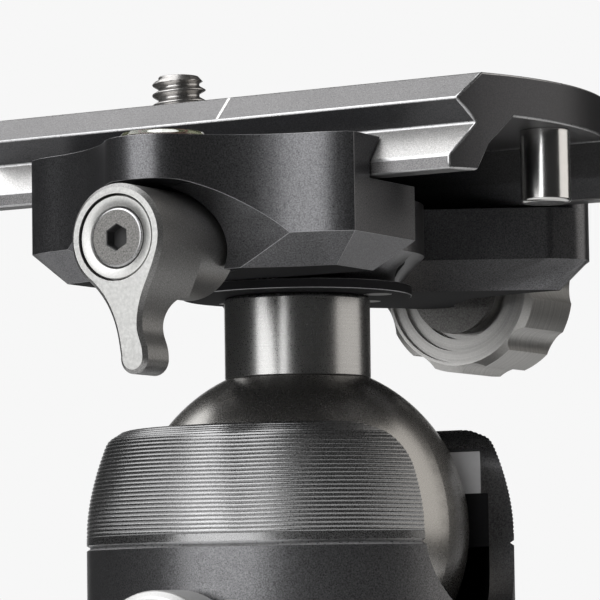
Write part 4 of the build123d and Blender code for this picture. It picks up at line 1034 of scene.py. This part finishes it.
def combine(piece, operation, other):
    modifier = piece.modifiers.new("combined", "BOOLEAN")
    modifier.operation = operation
    modifier.object = other
    bakeModifiers(piece)
    bpy.data.objects.remove(other)


def sortHousingFaces(mesh):
    mesh.materials.clear()
    plain, ridged, bright = addFinishes(mesh, "housing_black", "housingRidge", "plateEdge")
    bandFoot = ballCentre.z + ridges["bandFoot"] * mm
    grooveFoot = ballCentre.z + ridges["grooveFoot"] * mm
    for face in mesh.polygons:
        radius = math.hypot(face.center.x, face.center.y)
        outwards = face.normal.x * face.center.x + face.normal.y * face.center.y
        turned = outwards > ridges["turned"] * radius or face.normal.z > ridges["level"]
        face.material_index = ridged if face.center.z > bandFoot and turned else plain
        if grooveFoot < face.center.z < bandFoot and radius > ridges["grooveRadius"] * mm:
            face.material_index = bright


def makeHousing():
    ring = makeRidgeRing()
    cover = makeBossCover()
    piece = newPiece("ridgedHousing", mergedMesh("housing"))
    combine(ring, "UNION", cover)
    combine(piece, "INTERSECT", ring)
    sortHousingFaces(piece.data)
    piece.data.polygons.foreach_set("use_smooth", [True] * len(piece.data.polygons))
    piece.data.set_sharp_from_angle(angle=math.radians(ridges["sharp"]))
    weighted = piece.modifiers.new("evenShading", "WEIGHTED_NORMAL")
    weighted.keep_sharp = True
    bakeModifiers(piece)
    settle(piece, ["housing"], sharp=None)


makeHousing()

# pale above its step, painted shade below where it runs under the ball
print("upper seat")
seat = {"paintedShadeUnder": 4.0}    # over the ball's centre, millimetres


def makeUpperSeat():
    height = ballCentre.z + seat["paintedShadeUnder"] * mm
    mesh = mergedMesh("upper_seat")
    cutAcross(mesh, height)
    piece = newPiece("upperSeat", mesh, "seat_grey", "paintedShadeBlack")
    for face in mesh.polygons:
        face.material_index = 1 if face.center.z < height else 0
    settle(piece, ["upper_seat"])


makeUpperSeat()

# a cut thread over the screw's plain neck
print("camera screw")
cameraThread = {
    "rise": 0.1,    # of its start over the plate, millimetres
    "pitch": 1.27,
    "crest": 3.1,
    "root": 2.38,
    "crestFlat": 0.16,
    "crestHeight": 101.62,    # of a crest, towards the camera's left
    "endSlope": 0.9,
    "endRoot": 0.1,    # the ends run this far under the root
    "overlap": 0.02,    # between the neck and the thread
    "steps": 78,
    "segments": 72,
    "sharp": 60,
}


def threadRadius(z, angle, start, top):
    thread = cameraThread
    leftAngle = math.atan2(-toRight.y, -toRight.x)
    turns = (z - thread["crestHeight"]) / thread["pitch"] - (angle - leftAngle) / (2 * math.pi)
    away = abs(turns - round(turns)) * thread["pitch"] - thread["crestFlat"] / 2
    radius = thread["crest"] - max(0, away) * math.sqrt(3)
    ends = min(top - z, z - start) * thread["endSlope"] + thread["root"] - thread["endRoot"]
    return min(max(radius, thread["root"]), ends)


def makeCameraScrew():
    low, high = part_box("camera_screw")
    centre = (low + high) / 2
    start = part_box("plate")[1].z / mm + cameraThread["rise"]
    top = high.z / mm
    work = bmesh.new()
    rings = []
    for step in range(cameraThread["steps"] + 1):
        z = start + (top - start) * step / cameraThread["steps"]
        ring = []
        for index in range(cameraThread["segments"]):
            angle = 2 * math.pi * index / cameraThread["segments"]
            radius = threadRadius(z, angle, start, top) * mm
            place = (centre.x + radius * math.cos(angle), centre.y + radius * math.sin(angle), z * mm)
            ring.append(work.verts.new(place))
        rings.append(ring)
    for ring, following in zip(rings, rings[1:]):
        for index in range(len(ring)):
            after = (index + 1) % len(ring)
            work.faces.new((ring[index], ring[after], following[after], following[index]))
    work.faces.new(list(reversed(rings[0])))
    work.faces.new(rings[-1])
    thread = newPiece("cameraScrewThread", meshFrom("cameraScrewThread", work), "threadSteel")
    settle(thread, ["camera_screw"], sharp=cameraThread["sharp"])
    # the head and neck below the thread
    mesh = mergedMesh("camera_screw")
    cutAcross(mesh, (start - cameraThread["overlap"]) * mm, keepBelow=True)
    head = newPiece("cameraScrewHead", mesh, "threadSteel")
    settle(head, ["camera_screw"])


makeCameraScrew()

# line painted on the plate's bevel
print("index line")
indexLine = {
    "x": 0.85,
    "width": 0.36,
    "from": 0.03,    # shares of the bevel's slope
    "to": 0.93,
    "proud": 0.02,
    "sunk": 0.05,
    "topHalf": 15.3,    # half widths of the plate over and under the bevel
    "edgeHalf": 18.2,
}


def makeIndexLine():
    top = Vector((indexLine["x"], -indexLine["topHalf"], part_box("plate")[1].z / mm))
    drop = indexLine["edgeHalf"] - indexLine["topHalf"]
    bottom = Vector((indexLine["x"], -indexLine["edgeHalf"], top.z - drop))
    out = Vector((0, -1, 1)).normalized()
    half = Vector((indexLine["width"] / 2, 0, 0))
    vertices = []
    for share in (indexLine["from"], indexLine["to"]):
        middle = top.lerp(bottom, share)
        for lift in (-indexLine["sunk"], indexLine["proud"]):
            vertices += [middle - half + out * lift, middle + half + out * lift]
    faces = [(0, 1, 3, 2), (4, 6, 7, 5), (0, 4, 5, 1), (2, 3, 7, 6), (0, 2, 6, 4), (1, 5, 7, 3)]
    mesh = bpy.data.meshes.new("plateIndexLine")
    mesh.from_pydata([vertex * mm for vertex in vertices], [], faces)
    settle(newPiece("plateIndexLine", mesh, "markWhite"), [], "plate")


makeIndexLine()

# ribs across the rubber pads, marks round the friction dial
print("ribs and marks")
padRibs = {
    "count": 40,
    "spacing": 1.2,    # millimetres
    "length": 4.2,
    "width": 0.55,
    "height": 0.3,
    "proud": 0.12,
    "inset": 0.5,
}
padLow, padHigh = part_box("plate_pads")
for side, padSide in (("Left", 1), ("Right", -1)):
    padValues = {
        "Count": padRibs["count"], "Spacing": padRibs["spacing"] * mm, "Length": padRibs["length"] * mm,
        "Width": padRibs["width"] * mm, "Height": padRibs["height"] * mm, "Finish": "pad_rubber",
    }
    padY = padSide * (padHigh.y - padRibs["length"] / 2 * mm - padRibs["inset"] * mm)
    padZ = padHigh.z + (padRibs["proud"] - padRibs["height"] / 2) * mm
    padPlace = Matrix.Translation(((padLow.x + padHigh.x) / 2, padY, padZ))
    ribs = treePiece("padRibs" + side, rowTree, padValues, padPlace)
    settle(ribs, [], "plate")

dialMarks = {"count": 36, "radius": 6.35, "length": 0.9, "width": 0.16, "height": 0.1}
dialLow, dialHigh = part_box("friction_dial")
dialValues = {
    "Count": dialMarks["count"], "Radius": dialMarks["radius"] * mm, "Length": dialMarks["length"] * mm,
    "Width": dialMarks["width"] * mm, "Height": dialMarks["height"] * mm, "Finish": "markWhite",
}
dialPlace = Matrix.Translation((0, dialLow.y, (dialLow.z + dialHigh.z) / 2))
marks = treePiece("dialMarks", roundTree, dialValues, dialPlace @ Matrix.Rotation(math.pi / 2, 4, "X"))
settle(marks, [], bodyOf["friction_dial"])

# the level's bubble, and the ring that it is read by
print("level")
levelMarks = {
    "bubbleRadius": 1.15,
    "bubbleHeight": 0.16,
    "ringRadius": 1.75,
    "ringHalf": 0.09,
    "ringHeight": 0.06,
    "ringSunk": 0.05,
    "ringSegments": 64,
    "sharp": 60,
}


def makeLevelMarks():
    low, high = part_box("level_liquid")
    centre = (low + high) / 2
    place = Matrix.Translation((centre.x, centre.y, high.z))
    radius, height = levelMarks["bubbleRadius"], levelMarks["bubbleHeight"]
    shape = place @ Matrix.Diagonal((radius, radius, height, 1))
    work = bmesh.new()
    bmesh.ops.create_uvsphere(work, u_segments=48, v_segments=24, radius=mm, matrix=shape)
    bubble = newPiece("levelBubble", meshFrom("levelBubble", work), "washer_white")
    settle(bubble, [], "jaw", sharp=levelMarks["sharp"])
    outer = levelMarks["ringRadius"] + levelMarks["ringHalf"]
    inner = levelMarks["ringRadius"] - levelMarks["ringHalf"]
    top, foot = levelMarks["ringHeight"], -levelMarks["ringSunk"]
    line = [(outer, foot), (outer, top), (inner, top), (inner, foot)]
    work = revolveLine(line, levelMarks["ringSegments"])
    bmesh.ops.transform(work, matrix=place, verts=work.verts)
    ring = newPiece("levelRing", meshFrom("levelRing", work), "level_metal")
    settle(ring, [], "jaw")


makeLevelMarks()
